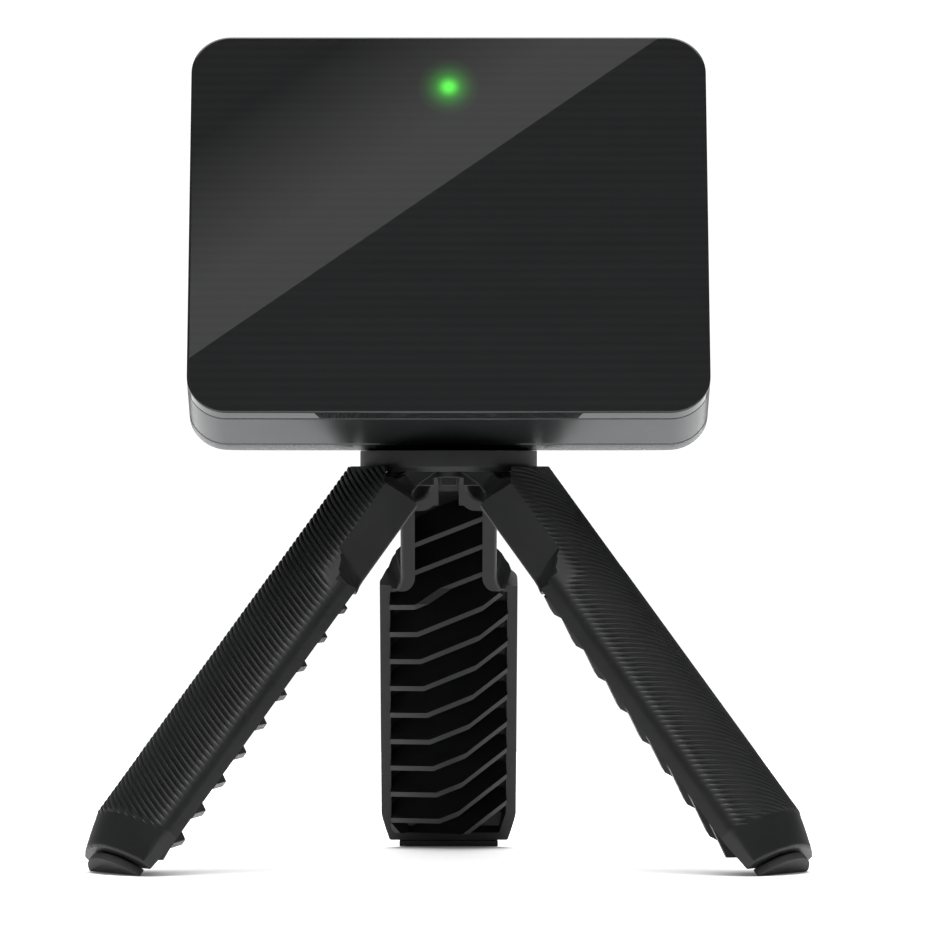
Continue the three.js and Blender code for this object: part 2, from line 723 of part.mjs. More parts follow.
function legOutside() {
  const across = mirrored([
    [NECK_HALF_WIDTH - 1, 0],
    [NECK_HALF_WIDTH, NECK_TOP + 2],
    [NECK_HALF_WIDTH, NECK_END],
    [LEG_HALF_WIDTH, SHOULDER_END],
    [LEG_HALF_WIDTH, LEG_END],
  ]);
  const outward = polygon([
    [NECK_RIM, NECK_TOP + 1.6],
    [NECK_RIM + 0.9, NECK_TOP],
    [THROAT_START, NECK_TOP],
    [LIP_INNER - 0.35, NECK_TOP + 2.1],
    [LIP_INNER, NECK_TOP + 0.2],
    [LEG_CREST - 0.7, NECK_TOP + 0.8],
    [LEG_CREST - 0.15, NECK_TOP + 1.5],
    [LEG_CREST + 0.1, NECK_TOP + 2.4],
    [LEG_CREST + 0.1, LEG_END],
    [RIM, LEG_END],
    [RIM, LIP_END + 0.3],
    [NECK_RIM, LIP_END],
  ]);
  const folded = mirrored([
    [foldedHalfWidth(NECK_RIM - 1), NECK_RIM - 1],
    [foldedHalfWidth(LEG_CREST + 1), LEG_CREST + 1],
  ]);
  return common([
    taperedChannel(),
    prism(across, "y", NECK_RIM - 2, LEG_CREST + 1),
    prism(outward, "x", -LEG_HALF_WIDTH - 1, LEG_HALF_WIDTH + 1),
    prism(folded, "z", 0, LEG_END + 1),
  ]);
}

function legHollow() {
  const neck = NECK_HALF_WIDTH - NECK_WALL;
  const wide = LEG_HALF_WIDTH - LEG_WALL;
  const across = mirrored([
    [EAR_INNER, 0],
    ...quarter([EAR_INNER, NECK_TOP - 1], [neck - 1.3, NECK_TOP + 3.2]),
    [neck, NECK_TOP + 3.3],
    ...quarter([neck, NECK_END + 0.5], [neck + 2.4, LIP_END]),
    [wide - 1.1, LIP_END],
    [wide - 1.1, SHOULDER_END + 0.1],
    [wide, SHOULDER_END + 0.1],
    [wide, LEG_END - FOOT_TAPER_LENGTH],
    [wide - 1.2, LEG_END - LEG_WALL],
  ]);
  const crest = LEG_CREST - LEG_WALL;
  const inside = RIB_INSIDE - 4; // well inward of the rim and the ribs
  const outward = polygon([
    [inside, -1],
    [THROAT_FLOOR, -1],
    [THROAT_FLOOR, NECK_TOP + 2.2],
    [crest, NECK_TOP + 5],
    [crest + 0.1, LEG_END - FOOT_TAPER_LENGTH - 0.3],
    [crest - FOOT_TAPER, LEG_END - LEG_WALL],
    [inside, LEG_END - LEG_WALL],
  ]);
  return common([
    prism(channelSection(wide, inside - 1, FLANK_TOP, crest), "z", -2, LEG_END),
    prism(across, "y", inside - 1, LEG_CREST),
    prism(outward, "x", -LEG_HALF_WIDTH, LEG_HALF_WIDTH),
  ]);
}

// The slanted ribs: thin plates that stand out of the open side as far as the folded neighbours
// let them, and a short brace across one corner of the foot.
function legRibs() {
  const reach = LEG_HALF_WIDTH;
  const plates = Array.from({ length: RIB_COUNT }, (_, i) => {
    const middle = FIRST_RIB + i * RIB_PITCH;
    const slant = RIB_SLANT * reach;
    const half = (RIB_THICKNESS / 2) * Math.hypot(1, RIB_SLANT);
    const outline = polygon([
      [-reach, middle - slant - half],
      [reach, middle + slant - half],
      [reach, middle + slant + half],
      [-reach, middle - slant + half],
    ]);
    return prism(outline, "y", RIB_INSIDE - 1, LEG_CREST);
  });
  const braceStart = LEG_HALF_WIDTH - LEG_WALL + 0.3;
  const brace = polygon([
    [braceStart, LEG_END - 5.2],
    [braceStart, LEG_END - 3.8],
    [braceStart - 3.8, LEG_END],
    [braceStart - 5.2, LEG_END],
  ]);
  const wedge = mirrored([
    [foldedHalfWidth(RIB_INSIDE), RIB_INSIDE],
    [LEG_HALF_WIDTH - RIB_INSET, RIM - 0.35],
    [LEG_HALF_WIDTH - RIB_INSET, FLANK_TOP],
    [0.01, LEG_CREST - RIB_INSET],
  ]);
  const across = mirrored([
    [NECK_HALF_WIDTH - 1, NECK_TOP + 3],
    [NECK_HALF_WIDTH - 1, NECK_END + 1],
    [LEG_HALF_WIDTH - 1, SHOULDER_END + 0.7],
    [LEG_HALF_WIDTH - 1, LEG_END - 1],
  ]);
  const stand = polygon([
    [NECK_RIM + 0.4, NECK_TOP],
    [LEG_CREST, NECK_TOP],
    [LEG_CREST, LEG_END - 6],
    [LEG_CREST - 3, LEG_END - 1],
    [RIM - 0.8, LEG_END - 1],
    [RIM - 0.8, levelAt(RIM - 0.8, GROUND_CLEARANCE) - 1],
    [RIM - RIB_STAND_FOOT, levelAt(RIM - RIB_STAND_FOOT, GROUND_CLEARANCE)],
    [RIM - RIB_STAND_TOP, SHOULDER_END],
    [NECK_RIM + 0.4, LIP_END - 0.5],
  ]);
  return common([
    union([...plates, prism(brace, "y", 0, LEG_CREST)]),
    prism(wedge, "z", 0, LEG_END),
    prism(across, "y", RIB_INSIDE - 1, LEG_CREST),
    prism(stand, "x", -reach, reach),
  ]);
}

// The two plates that reach up from the neck to the pin.
function legEars() {
  const shape = new THREE.Shape();
  shape.moveTo(EAR_RADIUS, 0);
  shape.lineTo(THROAT_START, NECK_TOP);
  shape.lineTo(THROAT_START, NECK_TOP + 2);
  shape.lineTo(NECK_RIM, NECK_TOP + 2);
  shape.lineTo(-EAR_RADIUS, 0);
  shape.absarc(0, 0, EAR_RADIUS, Math.PI, Math.PI * 2);
  const ears = [-1, 1].map((side) => {
    const [low, high] = [side * EAR_INNER, side * EAR_OUTER].sort((a, b) => a - b);
    return prism(shape, "x", low, high);
  });
  return union(ears);
}

const PAD_HALF_WIDTH = 8.9;
const PAD_INNER = 1;
const PAD_CREST = RIM + 4.3;
const PAD_SOLE = LEG_END + 1.7;
const PEG = { halfWidth: 4, inner: 2.7, outer: 4.7, depth: 1.6 };

function leg() {
  const pinHole = rod("x", [0, 0, 0], PIN_RADIUS + 0.06, -4, 4);
  const pegHole = block(
    -PEG.halfWidth - 0.25,
    PEG.halfWidth + 0.25,
    PEG.inner - 0.25,
    PEG.outer + 0.25,
    LEG_END - 3,
    LEG_END + 1,
  );
  const shell = legOutside().subtract(legHollow());
  return cut(union([shell, legRibs(), legEars()]), [pinHole, pegHole]);
}

// The rubber foot, flattened where it meets the ground with the leg splayed.
function footPad() {
  const plateShape = channelSection(PAD_HALF_WIDTH, PAD_INNER, RIM + 0.6, PAD_CREST);
  const pad = prism(plateShape, "z", LEG_END + PLAY, PAD_SOLE);
  const peg = block(
    -PEG.halfWidth,
    PEG.halfWidth,
    PEG.inner,
    PEG.outer,
    LEG_END - PEG.depth,
    LEG_END + PLAY + 0.5,
  );
  const below = polygon([
    [0, levelAt(0, 0)],
    [8, levelAt(8, 0)],
    [0, levelAt(8, 0)],
  ]);
  return cut(union([pad, peg]), [prism(below, "x", -LEG_HALF_WIDTH, LEG_HALF_WIDTH)]);
}

// One leg with its pad and pin, turned to its azimuth; the leg splays about the pin.
function legAssembly(side) {
  const splayed = new THREE.Group();
  splayed.position.set(0, -PIVOT_RADIUS, PIVOT_HEIGHT);
  splayed.rotation.x = Math.PI - SPLAY;
  splayed.add(
    piece(`leg_${side}`, leg(), MATERIALS.tripod),
    piece(`foot_pad_${side}`, footPad(), MATERIALS.rubber),
    piece(`hinge_pin_${side}`, hingePin(), MATERIALS.steel),
  );
  const turnedGroup = new THREE.Group();
  turnedGroup.rotation.z = THREE.MathUtils.degToRad(LEG_AZIMUTHS[side]);
  turnedGroup.add(splayed);
  return turnedGroup;
}

function tripod() {
  const group = new THREE.Group();
  group.add(
    piece("hub_body", hubBody(), MATERIALS.tripod),
    piece("platform_pad", platformPad(), MATERIALS.rubber),
    piece("mount_stud", mountStud(), MATERIALS.steel),
    piece("pivot_spider", pivotSpider(), MATERIALS.tripod),
    ...Object.keys(LEG_AZIMUTHS).map(legAssembly),
  );
  return group;
}

// ---------- the whole object ----------

const launchMonitor = new THREE.Group();
launchMonitor.add(radarUnit(), tripod());
launchMonitor.updateMatrixWorld(true);
const box = new THREE.Box3().setFromObject(launchMonitor, true);
launchMonitor.position.set(-(box.min.x + box.max.x) / 2, -(box.min.y + box.max.y) / 2, -box.min.z);

export default launchMonitor;
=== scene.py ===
"""A pocket golf launch monitor: a glossy radar unit leaning back on a folding mini tripod.

Every piece is modelled in millimetres in the frame of the assembly that carries it, and placed
by that frame. The unit's frame is x across, y depth behind the face, z up the face. A leg's frame
has its pivot at the origin: x across, y outward, z down the leg. The hub's frame stands on the
ground under the tripod's axis.
"""

import json
import math

import bmesh
import bpy
from mathutils import Matrix, Vector


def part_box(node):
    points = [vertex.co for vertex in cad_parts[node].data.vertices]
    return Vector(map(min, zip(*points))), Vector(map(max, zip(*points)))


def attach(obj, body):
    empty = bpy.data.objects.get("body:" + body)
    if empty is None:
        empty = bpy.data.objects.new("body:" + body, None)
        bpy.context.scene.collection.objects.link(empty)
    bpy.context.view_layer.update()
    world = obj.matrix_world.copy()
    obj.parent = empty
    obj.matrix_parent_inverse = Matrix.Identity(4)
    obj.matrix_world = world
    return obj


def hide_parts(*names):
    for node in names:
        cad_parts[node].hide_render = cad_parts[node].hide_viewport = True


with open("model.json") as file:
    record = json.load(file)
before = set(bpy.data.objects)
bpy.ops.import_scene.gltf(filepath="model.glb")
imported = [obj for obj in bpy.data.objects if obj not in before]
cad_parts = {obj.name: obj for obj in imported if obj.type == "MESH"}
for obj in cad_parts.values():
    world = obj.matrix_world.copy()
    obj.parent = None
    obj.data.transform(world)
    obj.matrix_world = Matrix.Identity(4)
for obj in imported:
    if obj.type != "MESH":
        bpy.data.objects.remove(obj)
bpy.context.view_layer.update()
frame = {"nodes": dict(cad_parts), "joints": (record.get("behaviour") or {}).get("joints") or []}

MM = 0.001
UP = Vector((0, 0, 1))
JOINTS = {joint["name"]: joint for joint in frame["joints"]}
SMOOTH_ANGLE = math.radians(32)

# ---------- frames ----------


def frame_matrix(origin, x_axis, y_axis, z_axis):
    """The matrix whose columns are a local frame's axes and origin, in metres."""
    matrix = Matrix.Identity(4)
    for column, vector in enumerate((x_axis, y_axis, z_axis, origin)):
        for row in range(3):
            matrix[row][column] = vector[row]
    return matrix


def local_box(node, matrix):
    """A CAD node's lowest and highest corner in a local frame, in millimetres."""
    inverse = matrix.inverted()
    points = [inverse @ v.co / MM for v in frame["nodes"][node].data.vertices]
    low = Vector([min(p[i] for p in points) for i in range(3)])
    high = Vector([max(p[i] for p in points) for i in range(3)])
    return low, high


def unit_frame():
    """The radar unit's frame, from its lens and from the hinge that runs along its depth."""
    depth = -Vector(JOINTS["usb_cover_hinge"]["axis"]).normalized()
    up_face = Vector((1, 0, 0)).cross(depth)
    turned_only = frame_matrix((0, 0, 0), (1, 0, 0), depth, up_face)
    low, _ = local_box("front_lens", turned_only)
    origin = (depth * low.y + up_face * low.z) * MM
    return frame_matrix(origin, (1, 0, 0), depth, up_face)


def leg_frame(side):
    """A leg's frame at rest, from the joint it folds about."""
    joint = JOINTS[f"fold_{side}"]
    splay = math.radians(joint["range_deg"][1])
    across = Vector(joint["axis"]).normalized()
    radial = across.cross(UP)
    outward = radial * math.cos(splay) + UP * math.sin(splay)
    down = radial * math.sin(splay) - UP * math.cos(splay)
    return frame_matrix(joint["pos_m"], across, outward, down)


SIDES = ("left", "right", "rear")
UNIT = unit_frame()
LEGS = {side: leg_frame(side) for side in SIDES}
swivel = JOINTS["unit_swivel"]["pos_m"]
HUB = Matrix.Translation((swivel[0], swivel[1], 0))
LEAN = math.atan2(UNIT[1][2], UNIT[2][2])

# ---------- meshes ----------


def new_object(name, verts, faces):
    """A closed mesh with its normals outward."""
    mesh = bpy.data.meshes.new(name)
    mesh.from_pydata([tuple(v) for v in verts], [], faces)
    bm = bmesh.new()
    bm.from_mesh(mesh)
    bmesh.ops.remove_doubles(bm, verts=bm.verts, dist=1e-5)
    bmesh.ops.recalc_face_normals(bm, faces=bm.faces)
    bm.to_mesh(mesh)
    bm.free()
    obj = bpy.data.objects.new(name, mesh)
    bpy.context.scene.collection.objects.link(obj)
    return obj


def loft(loops, ring=False):
    """A solid through loops of equally many points, capped at both ends or joined into a ring."""
    count = len(loops[0])
    verts = [point for loop in loops for point in loop]
    pairs = list(zip(range(len(loops)), range(1, len(loops))))
    if ring:
        pairs.append((len(loops) - 1, 0))
    faces = []
    for first, second in pairs:
        for i in range(count):
            j = (i + 1) % count
            faces.append((first * count + i, first * count + j, second * count + j, second * count + i))
    if not ring:
        faces.append(tuple(range(count)))
        faces.append(tuple((len(loops) - 1) * count + i for i in range(count)))
    return new_object("loft", verts, faces)


def arc(centre, radius, start, end, steps):
    """Points on an arc, from one angle in degrees to another."""
    angles = [math.radians(start + (end - start) * i / steps) for i in range(steps + 1)]
    return [(centre[0] + radius * math.cos(a), centre[1] + radius * math.sin(a)) for a in angles]


CORNER_STEPS = 14


def rounded_rectangle(x0, z0, x1, z1, radius, steps=CORNER_STEPS):
    """A rectangle's outline with rounded corners, anticlockwise from the lower right."""
    corners = (
        ((x1, z0), (-1, 1), -90), ((x1, z1), (-1, -1), 0), ((x0, z1), (1, -1), 90), ((x0, z0), (1, 1), 180),
    )
    points = []
    for (x, z), (step_x, step_z), start in corners:
        centre = (x + step_x * radius, z + step_z * radius)
        points += arc(centre, radius, start, start + 90, steps)
    return points


def drawn_in(outline, inset):
    """An outline with each point moved in by `inset`, square to the outline there."""
    moved = []
    for i, (x, y) in enumerate(outline):
        before = Vector(outline[i - 1])
        after = Vector(outline[(i + 1) % len(outline)])
        here = Vector((x, y))
        first = (here - before).normalized()
        second = (after - here).normalized()
        normal = Vector((-(first + second).y, (first + second).x)).normalized()
        spread = max(0.5, normal.dot(Vector((-second.y, second.x))))
        moved.append(tuple(here + normal * inset / spread))
    return moved


AXIS_POINT = {
    "x": lambda a, b, along: (along, a, b),
    "y": lambda a, b, along: (a, along, b),
    "z": lambda a, b, along: (a, b, along),
}


def prism(outline, axis, low, high, edge=0.0, edge_steps=3):
    """An outline extruded along an axis. With `edge`, its two ends are rounded over by that much."""
    levels = [(0.0, low), (0.0, high)]
    if edge:
        turn = [math.radians(90 * i / edge_steps) for i in range(edge_steps + 1)]
        first = [(edge * (1 - math.sin(a)), low + edge * (1 - math.cos(a))) for a in turn]
        last = [(inset, high - (along - low)) for inset, along in reversed(first)]
        levels = first + last
    place = AXIS_POINT[axis]
    area = sum(a[0] * b[1] - b[0] * a[1] for a, b in zip(outline, outline[1:] + outline[:1]))
    turned_right = outline if area > 0 else list(reversed(outline))
    loops = []
    for inset, along in levels:
        ring = drawn_in(turned_right, inset) if inset else turned_right
        loops.append([place(a, b, along) for a, b in ring])
    return loft(loops)


def block(x0, x1, y0, y1, z0, z1, edge=0.0):
    """A box with all its edges rounded by `edge`."""
    if edge:
        outline = rounded_rectangle(x0, z0, x1, z1, edge, 3)
    else:
        outline = [(x0, z0), (x1, z0), (x1, z1), (x0, z1)]
    return prism(outline, "y", y0, y1, edge)


def rod(axis, centre, radius, low, high, steps=32, edge=0.0):
    """A round bar along an axis through a point given in the plane square to it."""
    outline = arc(centre, radius, 0, 360 - 360 / steps, steps - 1)
    return prism(outline, axis, low, high, edge)


def turned(profile, steps, ring=False):
    """A solid turned about z from (radius, height) points, from axis to axis or all round a ring."""
    loops = []
    for radius, height in profile:
        circle = arc((0, 0), max(radius, 1e-4), 0, 360 - 360 / steps, steps - 1)
        loops.append([(x, y, height) for x, y in circle])
    return loft(loops, ring)


def mirrored(right_half):
    """A closed outline from its right half, given from top to bottom."""
    return right_half + [(-x, y) for x, y in reversed(right_half)]


def combine(body, tools, operation):
    """Applies a Boolean of `tools` to `body` and removes the tools."""
    for tool in tools:
        modifier = body.modifiers.new(operation, "BOOLEAN")
        modifier.operation = operation
        modifier.solver = "MANIFOLD"
        modifier.object = tool
    depsgraph = bpy.context.evaluated_depsgraph_get()
    mesh = bpy.data.meshes.new_from_object(body.evaluated_get(depsgraph))
    body.modifiers.clear()
    body.data = mesh
    for tool in tools:
        bpy.data.objects.remove(tool)
    return body


def cut(body, *tools):
    return combine(body, tools, "DIFFERENCE")


def union(body, *tools):
    return combine(body, tools, "UNION")


def common(body, *tools):
    return combine(body, tools, "INTERSECT")


def moved(body, matrix):
    body.data.transform(matrix)
    return body


def around_axis(make):
    """A copy of what `make` builds at each leg's turn round the tripod's axis."""
    return [moved(make(), Matrix.Rotation(math.radians(turn), 4, "Z")) for turn in (-60, 60, 180)]


def add_piece(body_object, name, matrix, material, body, slot, *nodes):
    """Names a solid, places it, hangs it on the body it rides on and hides the CAD nodes it stands for."""
    mesh = body_object.data
    mesh.transform(matrix @ Matrix.Scale(MM, 4))
    for polygon in mesh.polygons:
        polygon.use_smooth = True
    mesh.set_sharp_from_angle(angle=SMOOTH_ANGLE)
    mesh.materials.clear()
    mesh.materials.append(material)
    mesh.name = name
    body_object.name = name
    weighted = body_object.modifiers.new("even_shading", "WEIGHTED_NORMAL")
    weighted.keep_sharp = True
    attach(body_object, body)
    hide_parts(*nodes)
    return body_object


# ---------- materials ----------


class Tree:
    """Adds nodes to a node tree and joins them, so that it reads as a list of steps."""

    def __init__(self, tree):
        self.tree = tree

    def add(self, kind, **settings):
        node = self.tree.nodes.new(kind)
        for key, value in settings.items():
            setattr(node, key, value)
        return node

    def join(self, source, target):
        self.tree.links.new(source, target)

    def math(self, operation, first, second=0.0):
        """A Math node; each input is a socket or a number."""
        node = self.add("ShaderNodeMath", operation=operation)
        for socket, value in zip(node.inputs, (first, second)):
            if isinstance(value, (int, float)):
                socket.default_value = value
            else:
                self.join(value, socket)
        return node.outputs[0]

    def spread(self, source, low, high, start=0.3, end=0.7):
        """Maps a value from start..end to low..high."""
        node = self.add("ShaderNodeMapRange")
        for name, value in (("From Min", start), ("From Max", end), ("To Min", low), ("To Max", high)):
            node.inputs[name].default_value = value
        self.join(source, node.inputs["Value"])
        return node.outputs["Result"]


class Nodes(Tree):
    """The node tree of a new material, with its Principled shader and the surface's position."""

    def __init__(self, name):
        self.material = bpy.data.materials.new(name)
        self.material.use_nodes = True
        super().__init__(self.material.node_tree)
        self.shader = self.tree.nodes["Principled BSDF"]
        self.position = self.add("ShaderNodeTexCoord").outputs["Object"]

    def noise(self, size, detail=3.0, stretch=(1, 1, 1)):
        """Noise whose features are `size` metres across."""
        mapping = self.add("ShaderNodeMapping")
        mapping.inputs["Scale"].default_value = stretch
        self.join(self.position, mapping.inputs["Vector"])
        node = self.add("ShaderNodeTexNoise")
        node.inputs["Scale"].default_value = 1 / size
        node.inputs["Detail"].default_value = detail
        self.join(mapping.outputs["Vector"], node.inputs["Vector"])
        return node.outputs["Fac"]

    def shades(self, source, first, second):
        """A colour between two, by a value from 0 to 1."""
        node = self.add("ShaderNodeMix", data_type="RGBA")
        self.join(source, node.inputs["Factor"])
        node.inputs["A"].default_value = (*first, 1)
        node.inputs["B"].default_value = (*second, 1)
        return node.outputs["Result"]

    def bump(self, height, depth):
        """Raises the surface by `height` times `depth` metres."""
        node = self.add("ShaderNodeBump")
        node.inputs["Distance"].default_value = depth
        self.join(height, node.inputs["Height"])
        self.join(node.outputs["Normal"], self.shader.inputs["Normal"])


def fill_ramp(ramp, stops):
    """Sets a colour ramp's stops from (place, grey level) pairs."""
    elements = ramp.color_ramp.elements
    while len(elements) < len(stops):
        elements.new(0.5)
    for element, (place, value) in zip(elements, stops):
        element.position = place
        element.color = (value, value, value, 1)


def surface(
    name, dark, light, roughness, grain=0.0003, depth=0.00002, mottle=0.006, metallic=0.0, **constants
):
    """A moulded or metal surface: two shades in soft patches, fine grain in roughness and bump."""
    nodes = Nodes(name)
    shader = nodes.shader
    patches = nodes.spread(nodes.noise(mottle), 0, 1)
    nodes.join(nodes.shades(patches, dark, light), shader.inputs["Base Color"])
    fine = nodes.noise(grain)
    low, high = roughness
    nodes.join(nodes.spread(fine, low, high), shader.inputs["Roughness"])
    nodes.bump(fine, depth)
    shader.inputs["Metallic"].default_value = metallic
    for key, value in constants.items():
        shader.inputs[key.replace("_", " ").title().replace("Ior", "IOR")].default_value = value
    return nodes.material


def grey(level, blue=1.04):
    """A linear grey with a slight cool cast."""
    return (level * 0.97, level, level * blue)


MAT_COVER = surface("matte_black_cover", grey(0.012), grey(0.017), (0.42, 0.56), 0.00045, 0.00003)
MAT_TRIPOD = surface(
    "satin_black_nylon", grey(0.0095), grey(0.0135), (0.36, 0.5), 0.00035, 0.000012, specular_ior_level=0.34
)
MAT_HUB = surface(
    "satin_black_hub", grey(0.0085), grey(0.0125), (0.36, 0.48), 0.00035, 0.00001, specular_ior_level=0.3
)
MAT_RUBBER = surface(
    "soft_black_rubber", grey(0.011, 0.98), grey(0.016, 0.98), (0.6, 0.78), 0.0002, 0.00002
)
MAT_STEEL = surface("brushed_steel", grey(0.42), grey(0.52), (0.22, 0.38), 0.00015, 0.000004, metallic=1.0)
MAT_BRASS = surface(
    "turned_brass", (0.46, 0.28, 0.07), (0.6, 0.38, 0.11), (0.22, 0.36), 0.00015, 0.000004, metallic=1.0
)
MAT_SHIELD = surface("tinned_shield", grey(0.5), grey(0.58), (0.28, 0.42), 0.0004, 0.000005, metallic=1.0)
MAT_BOARD = surface(
    "solder_mask", (0.006, 0.045, 0.018), (0.01, 0.065, 0.026), (0.3, 0.45), 0.0006, 0.00001, 0.003
)
MAT_POUCH = surface("foil_pouch", grey(0.32), grey(0.38), (0.32, 0.46), 0.002, 0.00006, metallic=0.7)
MAT_CLEAR = surface(
    "green_light_pipe", (0.3, 0.8, 0.36), (0.36, 0.88, 0.42), (0.1, 0.2), 0.0004, 0.000004,
    transmission_weight=0.7,
)
MAT_SATIN = surface(
    "satin_metallic_paint", grey(0.056), grey(0.067), (0.26, 0.34), 0.00008, 0.000002, 0.012, metallic=0.75
)

STRIPE_PITCH = 1.7  # of the faint level lines under the window
# The lamp's glow through the window, by distance from it as a share of its reach.
LED_GLOW = (
    (0.0, 1.15), (0.12, 0.92), (0.19, 0.7), (0.25, 0.5), (0.32, 0.31), (0.38, 0.21), (0.44, 0.15),
    (0.51, 0.11), (0.64, 0.055), (0.76, 0.025), (1.0, 0.0),
)
LED_REACH = 5.5
LED_COLOR = (0.1, 1.0, 0.065, 1)


def lens_material(led):
    """Deep gloss over black with faint level stripes, lit green from behind round the lamp."""
    nodes = Nodes("gloss_black_window")
    shader = nodes.shader
    up_face = nodes.add("ShaderNodeVectorMath", operation="DOT_PRODUCT")
    nodes.join(nodes.position, up_face.inputs[0])
    up_face.inputs[1].default_value = UNIT.col[2].xyz
    turns = nodes.math("MULTIPLY", up_face.outputs["Value"], 2 * math.pi / (STRIPE_PITCH * MM))
    stripe = nodes.math("SINE", turns)
    drift = nodes.spread(nodes.noise(0.003, 2.0, (0.1, 1, 1)), -0.6, 0.6)
    level = nodes.spread(nodes.math("ADD", stripe, drift), 0, 1, -1.6, 1.6)
    nodes.join(nodes.shades(level, grey(0.0168), grey(0.0212)), shader.inputs["Base Color"])
    haze = nodes.noise(0.02)
    nodes.join(nodes.spread(haze, 0.004, 0.009), shader.inputs["Roughness"])
    away = nodes.add("ShaderNodeVectorMath", operation="DISTANCE")
    away.inputs[1].default_value = UNIT @ (led * MM)
    nodes.join(nodes.position, away.inputs[0])
    ramp = nodes.add("ShaderNodeValToRGB")
    fill_ramp(ramp, LED_GLOW)
    reach = nodes.math("DIVIDE", away.outputs["Value"], LED_REACH * MM)
    nodes.join(reach, ramp.inputs["Fac"])
    shader.inputs["Emission Color"].default_value = LED_COLOR
    nodes.join(ramp.outputs["Color"], shader.inputs["Emission Strength"])
    return nodes.material


def cover_material(band_end):
    """Matte black, with a band of the ring's metallic paint that ends at a depth behind the face."""
    nodes = Nodes("black_cover_with_painted_band")
    shader = nodes.shader
    depth_axis = UNIT.col[1].xyz
    depth = nodes.add("ShaderNodeVectorMath", operation="DOT_PRODUCT")
    nodes.join(nodes.position, depth.inputs[0])
    depth.inputs[1].default_value = depth_axis
    band_place = UNIT.translation.dot(depth_axis) + band_end * MM
    behind = nodes.math("SUBTRACT", depth.outputs["Value"], band_place)
    painted = nodes.spread(behind, 1, 0, -0.00005, 0.00005)
    black = nodes.shades(nodes.spread(nodes.noise(0.006), 0, 1), grey(0.012), grey(0.017))
    paint = nodes.shades(nodes.spread(nodes.noise(0.012), 0, 1), grey(0.066), grey(0.078))
    mix = nodes.add("ShaderNodeMix", data_type="RGBA")
    for source, socket in ((painted, "Factor"), (black, "A"), (paint, "B")):
        nodes.join(source, mix.inputs[socket])
    nodes.join(mix.outputs["Result"], shader.inputs["Base Color"])
    nodes.join(nodes.math("MULTIPLY", painted, 0.75), shader.inputs["Metallic"])
    grain = nodes.noise(0.00045)
    matte = nodes.spread(grain, 0.42, 0.56)
    smoother = nodes.math("MULTIPLY", painted, 0.18)
    nodes.join(nodes.math("SUBTRACT", matte, smoother), shader.inputs["Roughness"])
    nodes.bump(grain, 0.00002)
    return nodes.material


# ---------- the radar unit ----------

lens_low, lens_high = local_box("front_lens", UNIT)
housing_low, housing_high = local_box("mid_housing", UNIT)
cover_low, cover_high = local_box("rear_cover", UNIT)
led_low, led_high = local_box("status_led", UNIT)

HALF_WIDTH = lens_high.x
HEIGHT = lens_high.z
CORNER = 6.8
WALL = 2.0
FACE_EDGE = 0.4  # rounding of the window's front edge
PART_EDGE = 0.18  # rounding beside each parting line
QUARTER = [math.radians(15 * i) for i in range(7)]


def unit_outline(inset):
    return rounded_rectangle(
        -HALF_WIDTH + inset, inset, HALF_WIDTH - inset, HEIGHT - inset, max(CORNER - inset, 0.3)
    )


def unit_loft(profile, ring=False):
    """A solid round the unit's outline through (inset, depth) pairs."""
    loops = []
    for inset, depth in profile:
        loops.append([(x, depth, z) for x, z in unit_outline(inset)])
    return loft(loops, ring)


def rounded_lip(edge, depth, direction):
    """(inset, depth) pairs that round an outside edge over, away from the end face at `depth`."""
    return [(edge * (1 - math.sin(a)), depth + direction * edge * (1 - math.cos(a))) for a in QUARTER]


def front_lens():
    """The window: a shallow cap with its own side wall."""
    front = rounded_lip(FACE_EDGE, lens_low.y, 1)
    back = list(reversed(rounded_lip(PART_EDGE, lens_high.y, -1)))
    window_back = 1.6
    inner = [(WALL, lens_high.y), (WALL, window_back)]
    return unit_loft(front + back + inner)


def side_pill(length, width, low, high, height, edge=0.0):
    """An upright pill through a side wall: `length` up the face and `width` in depth."""
    middle = (housing_low.y + housing_high.y) / 2
    outline = rounded_rectangle(
        middle - width / 2, height - length / 2, middle + width / 2, height + length / 2, width / 2 - 0.01
    )
    return prism(outline, "x", low, high, edge)


button_low, button_high = local_box("power_button", UNIT)
flap_low, flap_high = local_box("usb_cover", UNIT)
BUTTON_HEIGHT = (button_low.z + button_high.z) / 2
BUTTON = (12.0, 4.6)
BUTTON_FLANGE = (13.8, 6.2, 0.9)
PORT_HEIGHT = (flap_low.z + flap_high.z) / 2
PORT = (7.9, 2.9)
FLAP_THICKNESS = 1.2
GAP = 0.25
SCREW_X = 35.5
SCREW_HEIGHTS = (10.5, 60.5)
SCREW_SEAT = local_box("case_screw_1", UNIT)[1].y - 1.3
SCREWS = [(x, z) for z in SCREW_HEIGHTS for x in (-SCREW_X, SCREW_X)]
BOSS_RADIUS = 2.9
WEB = (8.0, 9.4)
POCKET_REACH = 8.4  # inward of the side
POCKET_DEPTH = (7, 10.4)
BUTTON_POCKET = 17.0  # length up the face
PORT_POCKET = 10.0


def screw_rods(radius, low, high, edge=0.0):
    return [rod("y", place, radius, low, high, 40, edge) for place in SCREWS]


